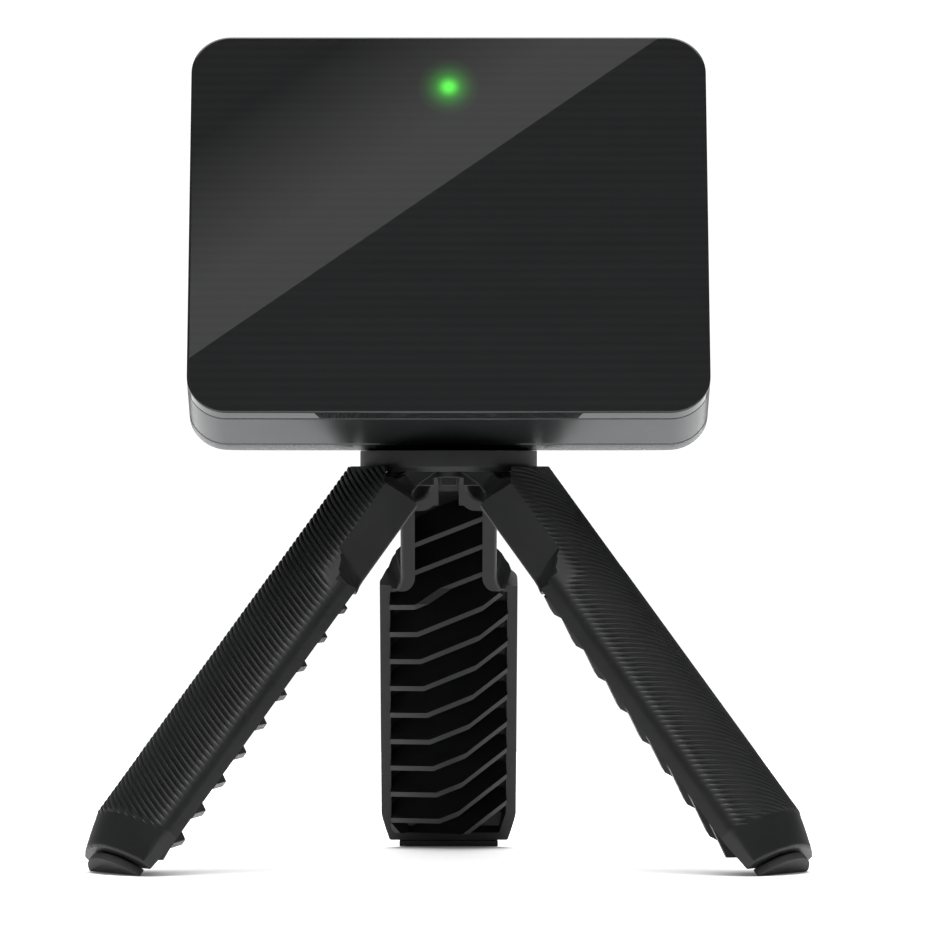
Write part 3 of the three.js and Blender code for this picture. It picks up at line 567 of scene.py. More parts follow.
def mid_housing():
    """The painted ring between window and cover, with the web that carries the boards."""
    front = list(reversed(rounded_lip(PART_EDGE, housing_low.y, 1)))
    back = rounded_lip(PART_EDGE, housing_high.y, -1)
    outer = list(reversed(front)) + list(reversed(back))
    ring = unit_loft(outer + [(WALL, housing_high.y), (WALL, housing_low.y)], ring=True)
    web = prism(unit_outline(WALL - 0.3), "y", *WEB)
    button_hole = side_pill(
        BUTTON[0] + 2 * GAP, BUTTON[1] + 2 * GAP, HALF_WIDTH - 4, HALF_WIDTH + 1, BUTTON_HEIGHT
    )
    button_pocket = block(
        HALF_WIDTH - POCKET_REACH, HALF_WIDTH - WALL, *POCKET_DEPTH,
        BUTTON_HEIGHT - BUTTON_POCKET / 2, BUTTON_HEIGHT + BUTTON_POCKET / 2,
    )
    port_hole = side_pill(PORT[0] + 0.7, PORT[1] + 0.7, -HALF_WIDTH - 1, -HALF_WIDTH + 4, PORT_HEIGHT)
    port_pocket = block(
        -HALF_WIDTH + WALL, -HALF_WIDTH + POCKET_REACH, *POCKET_DEPTH,
        PORT_HEIGHT - PORT_POCKET / 2, PORT_HEIGHT + PORT_POCKET / 2,
    )
    recess = block(
        -HALF_WIDTH - 1, -HALF_WIDTH + FLAP_THICKNESS + 0.2,
        flap_low.y - GAP, flap_high.y + GAP, flap_low.z - GAP, flap_high.z + GAP,
    )
    union(ring, web, *screw_rods(BOSS_RADIUS, WEB[0], housing_high.y))
    holes = screw_rods(1.15, WEB[0] + 1, housing_high.y + 1)
    return cut(ring, button_hole, button_pocket, port_hole, port_pocket, recess, *holes)


COVER_BEND = 16.0  # depth where the cover starts to round over
COVER_TAPER = 8.2


def cover_form(inset, front):
    """The cover's pillow: straight sides that round over into the back, and a level base."""
    steps = 16
    back = cover_high.y - inset
    loops = []
    depths = [(front, 0.0), (COVER_BEND, 0.0)]
    for i in range(1, steps + 1):
        turn = math.radians(90 * i / steps)
        depths.append((COVER_BEND + (back - COVER_BEND) * math.sin(turn), 1 - math.cos(turn)))
    for depth, share in depths:
        taper = (COVER_TAPER - inset) * share
        side = HALF_WIDTH - inset - taper
        base = inset + max(0.0, depth - COVER_BEND) * math.tan(LEAN)
        radius = CORNER - inset + 2.2 * share
        outline = rounded_rectangle(-side, base, side, HEIGHT - inset - taper, radius)
        loops.append([(x, depth, z) for x, z in outline])
    return loft(loops)


INSERT_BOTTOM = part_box("thread_insert")[0].z / MM
INSERT_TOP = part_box("thread_insert")[1].z / MM
INSERT_RADIUS = 3.95
HUB_TO_UNIT = UNIT.inverted() @ HUB


def upright(make):
    """A solid built in the hub's frame, in millimetres, moved into the unit's frame."""
    matrix = HUB_TO_UNIT.copy()
    matrix.translation = matrix.translation / MM
    return moved(make, matrix)


def rear_cover():
    """The back shell, with screw bosses and the boss that holds the tripod thread's insert."""
    lip = 0.25
    body = cover_form(0.0, cover_low.y)
    common(body, unit_loft([(lip, cover_low.y), (0.0, cover_low.y + lip), (0.0, cover_high.y + 1)]))
    bosses = []
    for solid in screw_rods(BOSS_RADIUS, cover_low.y + 0.3, 26):
        bosses.append(common(solid, cover_form(0.0, cover_low.y)))
    boss = upright(rod("z", (0, 0), 6.2, INSERT_BOTTOM - 3, INSERT_TOP + 1.4))
    common(boss, cover_form(0.6, cover_low.y + 0.3))
    cut(body, cover_form(WALL, cover_low.y - 1))
    union(body, boss, *bosses)
    wells = screw_rods(2.4, SCREW_SEAT - 0.3, 30)
    shanks = screw_rods(1.3, cover_low.y - 1, 30)
    seat = upright(rod("z", (0, 0), INSERT_RADIUS + 0.25, INSERT_BOTTOM - 3, INSERT_TOP + 0.3, 64))
    return cut(body, seat, *wells, *shanks)


def power_button():
    """The side button: a dished cap on a flange that keeps it in."""
    low, high = button_low.x, button_high.x
    cap = side_pill(*BUTTON, low + BUTTON_FLANGE[2] - 0.2, high, BUTTON_HEIGHT, 0.35)
    dish = side_pill(BUTTON[0] - 3, BUTTON[1] - 1.8, high - 0.12, high + 1, BUTTON_HEIGHT)
    flange = side_pill(BUTTON_FLANGE[0], BUTTON_FLANGE[1], low, low + BUTTON_FLANGE[2], BUTTON_HEIGHT)
    return cut(union(cap, flange), dish)


def usb_cover():
    """The rubber flap: a strip with a rounded hinge end, a thumb lip and a tongue for the socket."""
    low, high = flap_low, flap_high
    hinge = FLAP_THICKNESS / 2
    outer = low.x
    inner = outer + FLAP_THICKNESS
    strip = [(inner, high.z - 0.4), (inner - 0.4, high.z), (outer + 0.35, high.z), (outer, high.z - 0.35)]
    strip += arc((outer + hinge, low.z + hinge), hinge, 180, 360, 10)
    body = prism(strip, "y", low.y, high.y, 0.2)
    tongue = side_pill(PORT[0] - 2.4, PORT[1] - 1.5, inner - 0.2, high.x, PORT_HEIGHT, 0.2)
    grips = []
    for i in range(3):
        z = high.z - 1.7 - i * 0.9
        grips.append(block(outer - 1, outer + 0.18, low.y + 1.2, high.y - 1.2, z - 0.2, z + 0.2))
    groove = block(outer - 1, outer + 0.35, low.y - 1, high.y + 1, low.z + 1.5, low.z + 1.9)
    return cut(union(body, tongue), groove, *grips)


def case_screw(place):
    """A pan-head screw with a six-lobed drive."""
    head = rod("y", place, 2.1, SCREW_SEAT, SCREW_SEAT + 1.3, 48, 0.3)
    shank = rod("y", place, 1.0, 10.4, SCREW_SEAT + 0.3, 24, 0.2)
    lobes = []
    for i in range(48):
        turn = 2 * math.pi * i / 48
        radius = 1.0 + 0.16 * math.cos(6 * turn)
        lobes.append((place[0] + radius * math.cos(turn), place[1] + radius * math.sin(turn)))
    return cut(union(head, shank), prism(lobes, "y", SCREW_SEAT + 0.5, SCREW_SEAT + 3))


led_place = (led_low + led_high) / 2
MAT_LENS = lens_material(Vector((led_place.x, 0.0, led_place.z)))
MAT_BACK = cover_material(COVER_BEND + 0.3)
add_piece(front_lens(), "window", UNIT, MAT_LENS, "unit", "gloss_black", "front_lens")
add_piece(mid_housing(), "painted_ring", UNIT, MAT_SATIN, "unit", "housing_grey", "mid_housing")
add_piece(rear_cover(), "back_cover", UNIT, MAT_BACK, "unit", "cover_black", "rear_cover")
add_piece(power_button(), "side_button", UNIT, MAT_COVER, "power_button", "cover_black", "power_button")
add_piece(usb_cover(), "socket_flap", UNIT, MAT_RUBBER, "usb_cover", "rubber", "usb_cover")
for number, place in enumerate(SCREWS, 1):
    screw = case_screw(place)
    add_piece(screw, f"back_screw_{number}", UNIT, MAT_STEEL, "unit", "steel", f"case_screw_{number}")

# ---------- the hub ----------

hub_low, hub_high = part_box("hub_body")
COLLAR_BOTTOM = hub_low.z / MM
COLLAR_TOP = hub_high.z / MM
COLLAR_RADIUS = (hub_high.x - hub_low.x) / 2 / MM
PIVOT = JOINTS["fold_rear"]["pos_m"]
PIVOT_HEIGHT = PIVOT[2] / MM
PIVOT_RADIUS = (PIVOT[1] - swivel[1]) / MM
PIN_RADIUS = 0.75
PIN_PLAY = 0.06
PIN_HALF_LENGTH = 4.9
SLOT_ROOF = 70.0
SEAT_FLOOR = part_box("mount_stud")[1].z / MM - 5.85
SEAT_RADIUS = 13.7
ARM_HALF_WIDTH = 1.35
ARM_END = 7.3
ARM_ROOT = 3.6
CORE_BOTTOM = 66.5


def hub_body():
    """The collar: a disc bevelled at its foot, with a seat on top and slots below for the legs."""
    bevel = 0.7
    bottom, top, side = COLLAR_BOTTOM, COLLAR_TOP, COLLAR_RADIUS
    profile = [(0, bottom)]
    profile += [(side - bevel - 0.15, bottom), (side - bevel, bottom + 0.05)]
    profile += [(side - 0.08, bottom + bevel), (side, bottom + bevel + 0.15)]
    profile += [(side, top - 0.12), (side - 0.04, top - 0.04), (side - 0.12, top)]
    profile += [(SEAT_RADIUS + 0.1, top), (SEAT_RADIUS, top - 0.1), (SEAT_RADIUS, SEAT_FLOOR)]
    profile += [(0, SEAT_FLOOR)]
    disc = turned(profile, 160)
    half = PIN_RADIUS + 0.2
    low = COLLAR_BOTTOM - 1

    def slot():
        return block(-3.55, 3.55, -10.9, -2, low, SLOT_ROOF)

    def pin_groove():
        reach = PIN_HALF_LENGTH + 0.2
        return block(-reach, reach, -PIVOT_RADIUS - half, -PIVOT_RADIUS + half, low, PIVOT_HEIGHT + half)

    core = rod("z", (0, 0), 3.7, low, SLOT_ROOF, 48)
    bore = rod("z", (0, 0), 2.1, COLLAR_BOTTOM, COLLAR_TOP + 1, 48)
    return cut(disc, *around_axis(slot), *around_axis(pin_groove), core, bore)


def pivot_spider():
    """Three arms that carry the legs' pins, on a round core."""
    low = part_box("pivot_spider")[0].z / MM
    top = SLOT_ROOF - 0.25

    def arm():
        tip = block(-ARM_HALF_WIDTH, ARM_HALF_WIDTH, -ARM_END, -ARM_ROOT, low, top, 0.2)
        return union(tip, block(-ARM_HALF_WIDTH, ARM_HALF_WIDTH, -ARM_END + 1, 0, CORE_BOTTOM, top))

    def pin_hole():
        return rod("x", (-PIVOT_RADIUS, PIVOT_HEIGHT), PIN_RADIUS + PIN_PLAY, -2, 2, 32)

    core = rod("z", (0, 0), 3.4, CORE_BOTTOM, top, 64, 0.2)
    union(core, *around_axis(arm))
    return cut(core, *around_axis(pin_hole), rod("z", (0, 0), 1.85, CORE_BOTTOM - 1, SLOT_ROOF, 48))


def mount_stud():
    """The unit's thread: a flange on the platform, a spigot below and a rolled thread above."""
    crest, root, pitch = 3.17, 2.65, 1.27
    foot = SEAT_FLOOR + 0.05
    profile = [(0, foot - 3.9), (1.6, foot - 3.9), (1.6, foot), (4.1, foot), (4.4, foot + 0.2)]
    profile += [(4.4, foot + 0.3), (4.2, foot + 0.45), (root, foot + 0.45)]
    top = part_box("mount_stud")[1].z / MM
    height = foot + 0.8
    while height + pitch < top - 0.3:
        profile += [(root, height), (crest, height + 0.42), (crest, height + 0.58), (root, height + 1.0)]
        height += pitch
    profile += [(root, top - 0.4), (root - 0.4, top), (0, top)]
    return turned(profile, 64)


def platform_pad():
    """A ring of rubber with fine concentric ridges for grip."""
    low, high = SEAT_FLOOR + 0.05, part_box("platform_pad")[1].z / MM
    profile = [(4.7, low), (13.45, low), (13.45, high - 0.15), (13.3, high)]
    radius = 12.9
    while radius > 5.6:
        profile += [(radius, high), (radius - 0.15, high - 0.15)]
        profile += [(radius - 0.35, high - 0.15), (radius - 0.5, high)]
        radius -= 1.0
    profile += [(4.85, high), (4.7, high - 0.15)]
    return turned(profile, 128, ring=True)


add_piece(hub_body(), "collar", HUB, MAT_HUB, "hub", "tripod_black", "hub_body")
add_piece(pivot_spider(), "leg_carrier", HUB, MAT_TRIPOD, "hub", "tripod_black", "pivot_spider")
add_piece(mount_stud(), "threaded_stud", HUB, MAT_STEEL, "hub", "steel", "mount_stud")
add_piece(platform_pad(), "grip_ring", HUB, MAT_RUBBER, "hub", "rubber", "platform_pad")

# ---------- the legs ----------

leg_low, leg_high = local_box("leg_rear", LEGS["rear"])
LEG_HALF_WIDTH = leg_high.x
LEG_END = leg_high.z
LEG_CREST = leg_high.y
LEG_WALL = 1.8
NECK_WALL = 2.5
RIM = 1.7  # the open side's plane, outward of the pivot
NECK_RIM = RIM - 2
FLANK_TOP = RIM + 2.9
NECK_TOP = 6.4
NECK_HALF_WIDTH = 8.4
NECK_END = 24.3
LIP_END = 28.1  # where the neck's raised rim steps down to the leg's rim
SHOULDER_END = 29.7
FOOT_TAPER = 2.1
FOOT_TAPER_LENGTH = 6.6
SLANT = 0.51  # drop down the leg of each groove and rib for each step across
GROOVE_PITCH = 1.05
GROOVE_DEPTH = 0.4
RIDGE_PROUD = 0.22
GROOVE_END = 83.0
GROOVE_HALF_WIDTH = 11.9
SHOULDER_HALF_WIDTH = 9.4  # of the grooves beside the shoulders, where the sides are smooth
SHOULDER_GROOVES = (28.5, 31.5)  # the grooves widen from one width to the other between these
GROOVE_SHAPE = (1.0, 0.0, 0.0, 0.02, 0.1, 0.32, 0.68)  # depth share through one pitch
GROOVE_FADE = 4.0  # the grooves grow shallow over this width at their ends
SIDE_TAPER = 0.7  # the foot's narrowing at the sides, as a share of that at the crest
FOOT_EDGE = 0.35  # rounding of the leg's lower edge
SPLAY = math.radians(JOINTS["fold_rear"]["range_deg"][1])
FOLDED_GAP = 0.18


def smooth_step(value, start, end):
    share = min(1.0, max(0.0, (value - start) / (end - start)))
    return share * share * (3 - 2 * share)


def channel_section(half_width, bottom, flank, crest, corner, steps):
    """Right half of a channel's section: a flank, a rounded corner, then an arc to the crest.

    Each point comes with its outward direction.
    """
    rise = crest - flank
    radius = (half_width**2 + rise**2) / (2 * rise)
    centre = crest - radius
    corner_x = half_width - corner
    corner_y = centre + math.sqrt((radius - corner) ** 2 - corner_x**2)
    turn = math.degrees(math.atan2(corner_y - centre, corner_x))
    points = [((half_width, bottom + (corner_y - bottom) * i / 3), (1.0, 0.0)) for i in range(3)]
    for i in range(7):
        a = math.radians(turn * i / 6)
        out = (math.cos(a), math.sin(a))
        points.append(((corner_x + corner * out[0], corner_y + corner * out[1]), out))
    for i in range(1, steps + 1):
        a = math.radians(turn + (90 - turn) * i / steps)
        out = (math.cos(a), math.sin(a))
        points.append(((radius * out[0], centre + radius * out[1]), out))
    return points


def full_section(half):
    """Both halves of a section, from the lower right over the crest to the lower left."""
    left = [((-x, y), (-nx, ny)) for (x, y), (nx, ny) in reversed(half[:-1])]
    return half + left


def foot_narrowing(along):
    """How far the leg's end is drawn in at a distance down it: a long curve, then a rounded edge."""
    curve = max(0.0, along - (LEG_END - FOOT_TAPER_LENGTH)) / FOOT_TAPER_LENGTH
    edge = min(1.0, max(0.0, along - (LEG_END - FOOT_EDGE)) / FOOT_EDGE)
    return FOOT_TAPER * curve**1.2 + FOOT_EDGE * (1 - math.sqrt(1 - edge * edge))


def grooved_bar():
    """The channel's outer form with slanted grip grooves, tapered towards the foot."""
    section = full_section(channel_section(LEG_HALF_WIDTH, NECK_RIM - 1, FLANK_TOP, LEG_CREST, 2.6, 22))
    rows = []
    step = GROOVE_PITCH / len(GROOVE_SHAPE)
    count = int((LEG_END + 18) / step)
    for row in range(count):
        base = -8 + row * step
        groove = GROOVE_SHAPE[row % len(GROOVE_SHAPE)]
        loop = []
        for (x, y), (nx, ny) in section:
            along = base + SLANT * x
            widening = smooth_step(along, *SHOULDER_GROOVES)
            half = SHOULDER_HALF_WIDTH + (GROOVE_HALF_WIDTH - SHOULDER_HALF_WIDTH) * widening
            fade = 1 - smooth_step(along, GROOVE_END - 1.2, GROOVE_END)
            fade *= 1 - smooth_step(abs(x), half - GROOVE_FADE, half)
            relief = (GROOVE_DEPTH * groove - RIDGE_PROUD) * fade
            taper = foot_narrowing(along)
            inward_x = nx * (relief + taper * SIDE_TAPER)
            loop.append((x - inward_x, y - ny * (relief + taper), along))
        rows.append(loop)
    return loft(rows)


def folded_half_width(outward):
    """Half the room across a folded leg at a distance outward from its pivot."""
    radius = PIVOT_RADIUS + outward
    return radius * math.tan(math.pi / 3) - FOLDED_GAP / math.cos(math.pi / 3)


def quarter(start, end, steps=10):
    """A quarter ellipse that starts along y and ends along x."""
    points = []
    for i in range(steps + 1):
        a = math.radians(90 * i / steps)
        x = end[0] + (start[0] - end[0]) * math.cos(a)
        points.append((x, start[1] + (end[1] - start[1]) * math.sin(a)))
    return points


# The leg's outline seen along its outward axis, right half from the top: at the level of the open
# rim, where the neck's lip curves out into the shoulder, and at the crest, where the top corners
# are rounded and the shoulder slopes out.
RIM_OUTLINE = (
    (2.0, 3.0), (3.15, 4.3), (3.6, 5.6), (4.5, 6.7), (6.3, 7.6), (8.4, 8.6),
    (8.4, 25.0), (8.6, 26.3), (9.2, 27.5), (10.2, 28.2), (12.1, 28.3), (13.1, 88.6),
)
CREST_OUTLINE = (
    (5.0, 5.2), (6.0, 6.0), (6.9, 6.8), (7.6, 7.7), (8.1, 8.8), (8.4, 10.2),
    (8.4, 23.2), (9.9, 24.1), (11.0, 25.1), (12.0, 27.5), (12.1, 30.8), (13.1, 88.6),
)
RIM_ROUND = 0.7
THROAT = (4.46, 7.4)  # the groove across the leg's top end
LIP = 7.7
LIP_ROUND = (
    (0.25, 0.15), (0.7, 0.48), (1.05, 0.95), (1.35, 1.65), (1.55, 2.5), (1.7, 3.6), (1.8, 5.0),
)


def leg_outside():
    """The leg as a full bar: grooved, outlined, with its lip and stepped rim, and room to fold."""
    low = mirrored(list(RIM_OUTLINE))
    high = mirrored(list(CREST_OUTLINE))
    rounded = []
    for a in QUARTER:
        inset = RIM_ROUND * (1 - math.sin(a)) + 0.001
        outward = NECK_RIM - 0.01 + RIM_ROUND * (1 - math.cos(a))
        rounded.append([(x, outward, z) for x, z in drawn_in(low, inset)])
    sides = loft(rounded + [[(x, RIM, z) for x, z in low], [(x, LEG_CREST + 1, z) for x, z in high]])
    outward = [(NECK_RIM, 3.4), (2.0, 3.4), (2.9, 4.2), (THROAT[0], NECK_TOP), (THROAT[1], NECK_TOP + 2.1)]
    outward += [(LIP, NECK_TOP + 0.25)]
    outward += [(LIP + x, NECK_TOP + y) for x, y in LIP_ROUND]
    outward += [(LEG_CREST + 0.3, LEG_END), (RIM, LEG_END)]
    outward += [(RIM, LIP_END + 0.35), (RIM - 0.12, LIP_END + 0.1)]
    outward += [(RIM - 0.4, LIP_END), (NECK_RIM + 0.3, LIP_END), (NECK_RIM + 0.08, LIP_END - 0.08)]
    outward += [(NECK_RIM, LIP_END - 0.3)]
    folded = mirrored([
        (folded_half_width(NECK_RIM - 1), NECK_RIM - 1), (folded_half_width(LEG_CREST + 1), LEG_CREST + 1),
    ])
    return common(
        grooved_bar(),
        sides,
        prism(outward, "x", -LEG_HALF_WIDTH - 1, LEG_HALF_WIDTH + 1),
        prism(folded, "z", 0, LEG_END + 1),
    )


def leg_hollow():
    """The channel inside a leg, open towards the tripod's axis."""
    neck = NECK_HALF_WIDTH - NECK_WALL
    wide = LEG_HALF_WIDTH - LEG_WALL
    across = mirrored(
        [(1.75, 0)]
        + quarter((1.75, NECK_TOP - 1), (neck - 1.3, NECK_TOP + 3.2))
        + [(neck - 0.2, NECK_TOP + 3.22), (neck, NECK_TOP + 3.4)]
        + quarter((neck, NECK_END + 0.5), (neck + 2.4, LIP_END))
        + [(wide - 1.1, LIP_END + 0.01), (wide - 1.05, SHOULDER_END + 0.1), (wide, SHOULDER_END + 0.12)]
        + [(wide, LEG_END - FOOT_TAPER_LENGTH), (wide - 1.2, LEG_END - LEG_WALL)]
    )
    crest = LEG_CREST - LEG_WALL
    outward = [
        (-8, -1), (3.8, -1), (3.8, NECK_TOP + 2.2), (crest, NECK_TOP + 5),
        (crest + 0.1, LEG_END - FOOT_TAPER_LENGTH), (FLANK_TOP - 1, LEG_END - LEG_WALL),
        (-8, LEG_END - LEG_WALL),
    ]
    section = [point for point, _ in full_section(channel_section(wide, -9, FLANK_TOP, crest, 1.6, 18))]
    return common(
        prism(section, "z", -2, LEG_END),
        prism(across, "y", -9, LEG_CREST),
        prism(outward, "x", -LEG_HALF_WIDTH, LEG_HALF_WIDTH),
    )


def level_at(outward, height):
    """How far down the splayed leg a point this far outward meets a level above the ground."""
    return (PIVOT_HEIGHT - height + outward * math.sin(SPLAY)) / math.cos(SPLAY)


RIB_THICKNESS = 1.0
RIB_PITCH = 6.3
RIB_COUNT = 12
FIRST_RIB = 14.75
RIB_INSET = 0.9  # from the leg's outer form
RIB_INSIDE = -4.6  # how far the ribs stand towards the tripod's axis
RIB_HALF_SPAN = 10.4
NECK_RIB_HALF_SPAN = 6.3


def leg_ribs():
    """Slanted plates that stand out of the open side, and a short brace across one foot corner."""
    reach = LEG_HALF_WIDTH
    slant = SLANT * reach
    half = RIB_THICKNESS / 2 * math.hypot(1, SLANT)
    plates = []
    for i in range(RIB_COUNT):
        middle = FIRST_RIB + i * RIB_PITCH
        outline = [
            (-reach, middle - slant - half), (reach, middle + slant - half),
            (reach, middle + slant + half), (-reach, middle - slant + half),
        ]
        plates.append(prism(outline, "y", -6, LEG_CREST))
    brace = [(10.6, LEG_END - 5.2), (10.6, LEG_END - 3.8), (6.8, LEG_END), (5.4, LEG_END)]
    low = RIB_INSIDE
    wedge = mirrored([
        (folded_half_width(low), low), (LEG_HALF_WIDTH - RIB_INSET, RIM - 0.35),
        (LEG_HALF_WIDTH - RIB_INSET, FLANK_TOP), (0.01, LEG_CREST - RIB_INSET),
    ])
    across = mirrored([
        (NECK_RIB_HALF_SPAN, NECK_TOP + 3), (NECK_RIB_HALF_SPAN, NECK_END + 1),
        (RIB_HALF_SPAN, SHOULDER_END + 0.7), (RIB_HALF_SPAN, LEG_END - 1),
    ])
    wall_top = PIVOT_HEIGHT - (LEG_END - LEG_WALL) * math.cos(SPLAY) + RIM * math.sin(SPLAY)
    stand = [
        (NECK_RIM + 0.4, NECK_TOP), (LEG_CREST, NECK_TOP),
        (LEG_CREST, LEG_END - 6), (LEG_CREST - 3, LEG_END - 1),
        (RIM, LEG_END - 1), (RIM, LEG_END - LEG_WALL), (RIM - 6.2, level_at(RIM - 6.2, wall_top)),
        (RIM - 3.4, SHOULDER_END), (NECK_RIM + 0.4, LIP_END - 0.5),
    ]
    ribs = union(prism(brace, "y", 0, LEG_CREST), *plates)
    return common(
        ribs,
        prism(wedge, "z", 0, LEG_END),
        prism(across, "y", -6, LEG_CREST),
        prism(stand, "x", -reach, reach),
    )


EAR = (1.75, 3.15)  # from the leg's middle
EAR_RADIUS = 1.5


def leg_ear(side):
    """One of the two ears that the pin goes through, on the side given by the sign."""
    low, high = sorted(side * x for x in EAR)
    reach = THROAT[0] - 0.05
    outline = arc((0, 0), EAR_RADIUS, 180, 360, 16)
    outline += [(reach, NECK_TOP), (reach, NECK_TOP + 2), (NECK_RIM, NECK_TOP + 2), (NECK_RIM, 3.5)]
    return prism(outline, "x", low, high, 0.15)


PEG = (4.0, 2.7, 4.7)  # the foot pad's peg: half width, and its two sides outward of the pivot


def leg():
    """The channel with its ribs and ears, bored for the pin and for the foot pad's peg."""
    shell = cut(leg_outside(), leg_hollow())
    union(shell, leg_ribs(), leg_ear(-1), leg_ear(1))
    pin_hole = rod("x", (0, 0), PIN_RADIUS + PIN_PLAY, -4, 4)
    peg_x, peg_low, peg_high = PEG
    peg_hole = block(
        -peg_x - GAP, peg_x + GAP, peg_low - GAP, peg_high + GAP, LEG_END - 3, LEG_END + 1
    )
    return cut(shell, pin_hole, peg_hole)


PAD_HALF_WIDTH = 8.9


def foot_pad():
    """The rubber foot, rounded at its sole and flattened where it meets the ground."""
    half = channel_section(PAD_HALF_WIDTH, RIM + 0.05, RIM + 0.6, RIM + 4.3, 0.8, 18)
    section = [point for point, _ in full_section(half)]
    sole = local_box("foot_pad_rear", LEGS["rear"])[1].z
    pad = prism(section, "z", LEG_END + 0.3, sole, 0.25)
    peg_x, peg_low, peg_high = PEG
    peg = block(-peg_x, peg_x, peg_low, peg_high, LEG_END - 1.6, LEG_END + 0.8)
    below = [(0, level_at(0, 0)), (8, level_at(8, 0)), (0, level_at(8, 0))]
    return cut(union(pad, peg), prism(below, "x", -LEG_HALF_WIDTH, LEG_HALF_WIDTH))


def hinge_pin():
    return rod("x", (0, 0), PIN_RADIUS, -PIN_HALF_LENGTH, PIN_HALF_LENGTH, 32, 0.15)


def copy_of(source):
    twin = bpy.data.objects.new(source.name, source.data.copy())
    bpy.context.scene.collection.objects.link(twin)
    return twin


for make, name, material, slot, node in (
    (leg, "tripod_leg", MAT_TRIPOD, "tripod_black", "leg"),
    (foot_pad, "rubber_foot", MAT_RUBBER, "rubber", "foot_pad"),
    (hinge_pin, "pivot_pin", MAT_STEEL, "steel", "hinge_pin"),
):
    first = make()
    solids = [first, copy_of(first), copy_of(first)]
    for side, solid in zip(SIDES, solids):
        add_piece(solid, f"{name}_{side}", LEGS[side], material, f"leg_{side}", slot, f"{node}_{side}")

# ---------- pieces that keep their CAD shape ----------

CARRIED = {
    "front_seal": MAT_RUBBER,
    "rear_seal": MAT_RUBBER,
    "thread_insert": MAT_BRASS,
    "radar_board": MAT_BOARD,
    "radar_shield": MAT_SHIELD,
    "main_board": MAT_BOARD,
    "processor_shield": MAT_SHIELD,
    "battery_cell": MAT_POUCH,
    "light_pipe": MAT_CLEAR,
    "status_led": MAT_CLEAR,
    "usb_socket": MAT_STEEL,
    "power_switch": MAT_STEEL,
}
for node, material in CARRIED.items():
    slots = frame["nodes"][node].material_slots
    for material_slot in slots:
        material_slot.material = material

# ---------- camera, lights and floor ----------

CAMERA_DISTANCE = 1.25  # from the tripod's axis
CAMERA_HEIGHT = 0.0623
LENS = 280.2
SENSOR = 36.0
PITCH = math.radians(0.276)
YAW = math.radians(0.113)

camera_data = bpy.data.cameras.new("camera")
camera_data.lens = LENS
camera_data.sensor_width = SENSOR
camera_data.clip_end = 500
camera = bpy.data.objects.new("camera", camera_data)
bpy.context.scene.collection.objects.link(camera)
bpy.context.scene.camera = camera
camera.location = (swivel[0], swivel[1] - CAMERA_DISTANCE, CAMERA_HEIGHT)
aim = Vector((math.sin(YAW), math.cos(YAW) * math.cos(PITCH), math.sin(PITCH)))
camera.rotation_euler = aim.to_track_quat("-Z", "Y").to_euler()


def emission_material(name):
    """Light given off by a card, by the share painted on its corners."""
    material = bpy.data.materials.new(name)
    material.use_nodes = True
    material.node_tree.nodes.clear()
    nodes = Tree(material.node_tree)
    share = nodes.add("ShaderNodeAttribute", attribute_name="share")
    glow = nodes.add("ShaderNodeEmission")
    output = nodes.add("ShaderNodeOutputMaterial")
    nodes.join(share.outputs["Fac"], glow.inputs["Strength"])
    nodes.join(glow.outputs[0], output.inputs["Surface"])
    return material


# A lit card seen in the window: its edge runs across the face from top right to lower left, and
# its light fades away behind that edge.
CARD_DISTANCE = 0.8
CARD_EDGE = ((38.6, 72.6), (-46.0, 8.6))  # where the edge is seen, x and z on the face
CARD_ROWS = ((0.0, 1.0), (9.5, 0.98), (16.0, 0.72), (24.0, 0.36), (33.0, 0.0))  # inward on the face: share
CARD_SPARE = 60.0


def seen_in_face(x, z):
    """The point on the card that the camera sees reflected at a place on the face."""
    place = UNIT @ (Vector((x, 0, z)) * MM)
    normal = UNIT.to_3x3() @ Vector((0, -1, 0))
    ray = (place - camera.location).normalized()
    mirrored_ray = ray - 2 * ray.dot(normal) * normal
    return place + mirrored_ray * CARD_DISTANCE


def reflected_card():
    start, end = (Vector(p) for p in CARD_EDGE)
    along = (end - start).normalized()
    inward = Vector((along.y, -along.x))
    if inward.y < 0:
        inward = -inward
    ends = (start - along * CARD_SPARE, end + along * CARD_SPARE)
    verts, shares = [], []
    for offset, share in CARD_ROWS:
        for point in ends:
            on_face = point + inward * offset
            verts.append(seen_in_face(on_face.x, on_face.y))
            shares.append(share)
    faces = [(2 * i, 2 * i + 1, 2 * i + 3, 2 * i + 2) for i in range(len(CARD_ROWS) - 1)]
    mesh = bpy.data.meshes.new("reflected_card")
    mesh.from_pydata(verts, [], faces)
    attribute = mesh.attributes.new("share", "FLOAT", "POINT")
    for item, share in zip(attribute.data, shares):
        item.value = share
    card = bpy.data.objects.new("reflected_card", mesh)
    bpy.context.scene.collection.objects.link(card)
    mesh.materials.append(emission_material("card_light"))
    card.visible_camera = False
    card.visible_shadow = False


reflected_card()

# The light that comes from each height, from straight down (0) to straight up (1): dark behind
# whoever holds the camera, a bright wall behind the object, and a broad soft light overhead.
OVERHEAD = ((0.0, 0.0), (0.6, 0.0), (0.9, 0.05), (0.945, 4.9), (1.0, 4.9))
WALL_TOP = (0.54, 0.62)  # the wall's light fades out between these heights
WALL_LIGHT = 0.5
ROOM_LIGHT = 0.1
BACKDROP = 1.1  # what the camera itself sees behind the object


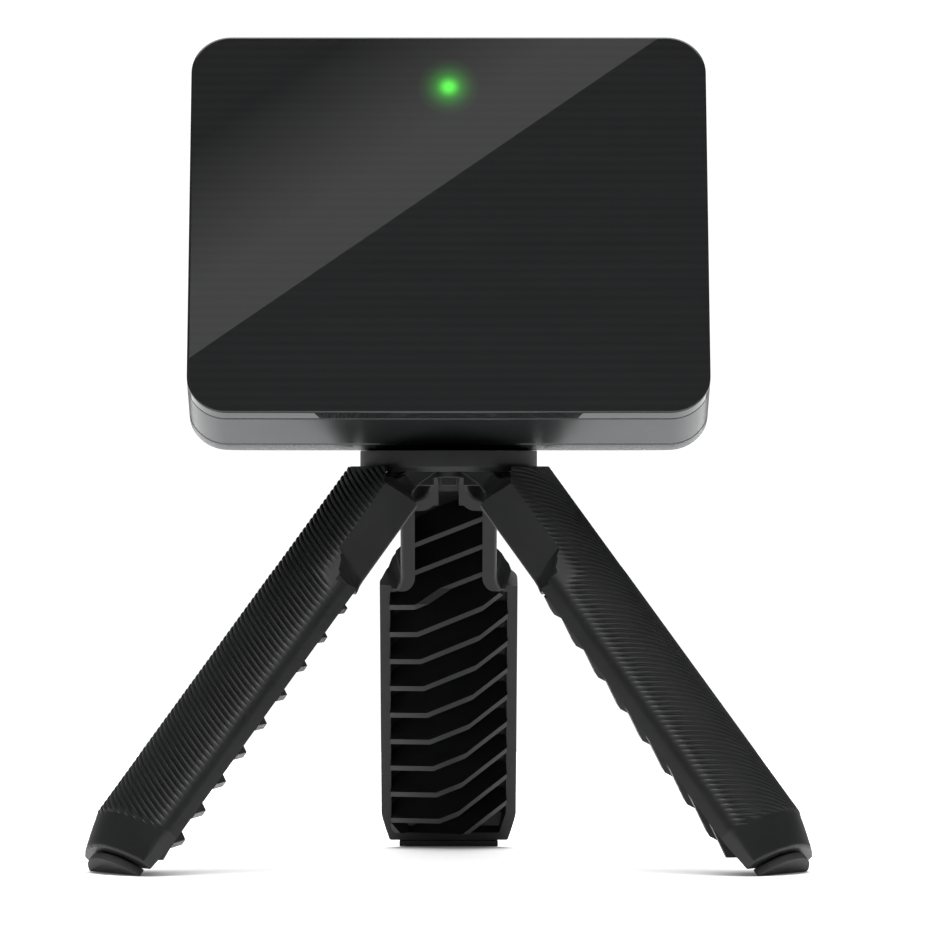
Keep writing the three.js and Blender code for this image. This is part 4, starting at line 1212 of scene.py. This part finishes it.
def soft_sky():
    """Light by its direction, with a white backdrop that only the camera sees."""
    world = bpy.data.worlds.new("studio")
    bpy.context.scene.world = world
    world.use_nodes = True
    sky = Tree(world.node_tree)
    direction = sky.add("ShaderNodeSeparateXYZ")
    sky.join(sky.add("ShaderNodeTexCoord").outputs["Generated"], direction.inputs[0])
    height = sky.spread(direction.outputs["Z"], 0, 1, -1, 1)
    ramp = sky.add("ShaderNodeValToRGB")
    fill_ramp(ramp, OVERHEAD)
    sky.join(height, ramp.inputs["Fac"])
    behind = sky.spread(direction.outputs["Y"], ROOM_LIGHT, WALL_LIGHT, 0.5, 1.0)
    wall = sky.math("MULTIPLY", sky.spread(height, 1, 0, *WALL_TOP), behind)
    light = sky.math("ADD", ramp.outputs["Color"], wall)
    seen = sky.add("ShaderNodeMix", data_type="FLOAT")
    sky.join(sky.add("ShaderNodeLightPath").outputs["Is Camera Ray"], seen.inputs["Factor"])
    sky.join(light, seen.inputs["A"])
    seen.inputs["B"].default_value = BACKDROP
    background = world.node_tree.nodes["Background"]
    background.inputs["Color"].default_value = (1, 1, 1, 1)
    sky.join(seen.outputs["Result"], background.inputs["Strength"])


soft_sky()


FLOOR_GLOW = 0.62  # the floor's own glow, as if lit from below, so that only what touches it leaves a shadow; near things the glow is dimmed to a painted contact shadow
# how far above the floor something dims the glow into the painted contact shadow
CONTACT_REACH = 0.01


def floor():
    """A pale floor whose glow fades to a painted contact shadow where something is close above it."""
    size = 0.55
    corners = [(-size, -size, 0), (size, -size, 0), (size, size, 0), (-size, size, 0)]
    mesh = bpy.data.meshes.new("floor")
    mesh.from_pydata(corners, [], [(0, 1, 2, 3)])
    ground = bpy.data.objects.new("floor", mesh)
    bpy.context.scene.collection.objects.link(ground)
    nodes = Nodes("pale_floor_with_painted_contact_shadow")
    shader = nodes.shader
    shader.inputs["Base Color"].default_value = (0.88, 0.88, 0.88, 1)
    shader.inputs["Roughness"].default_value = 0.9
    shader.inputs["Specular IOR Level"].default_value = 0.1
    # painted contact shadow: the glow is dimmed by occlusion where something is close above the floor
    painted_contact_shadow = nodes.add("ShaderNodeAmbientOcclusion")
    painted_contact_shadow.inputs["Distance"].default_value = CONTACT_REACH
    glow = nodes.math("MULTIPLY", painted_contact_shadow.outputs["AO"], FLOOR_GLOW)
    nodes.join(glow, shader.inputs["Emission Strength"])
    shader.inputs["Emission Color"].default_value = (1, 1, 1, 1)
    mesh.materials.append(nodes.material)


floor()

view = bpy.context.scene.view_settings
view.view_transform = "Standard"
view.look = "None"
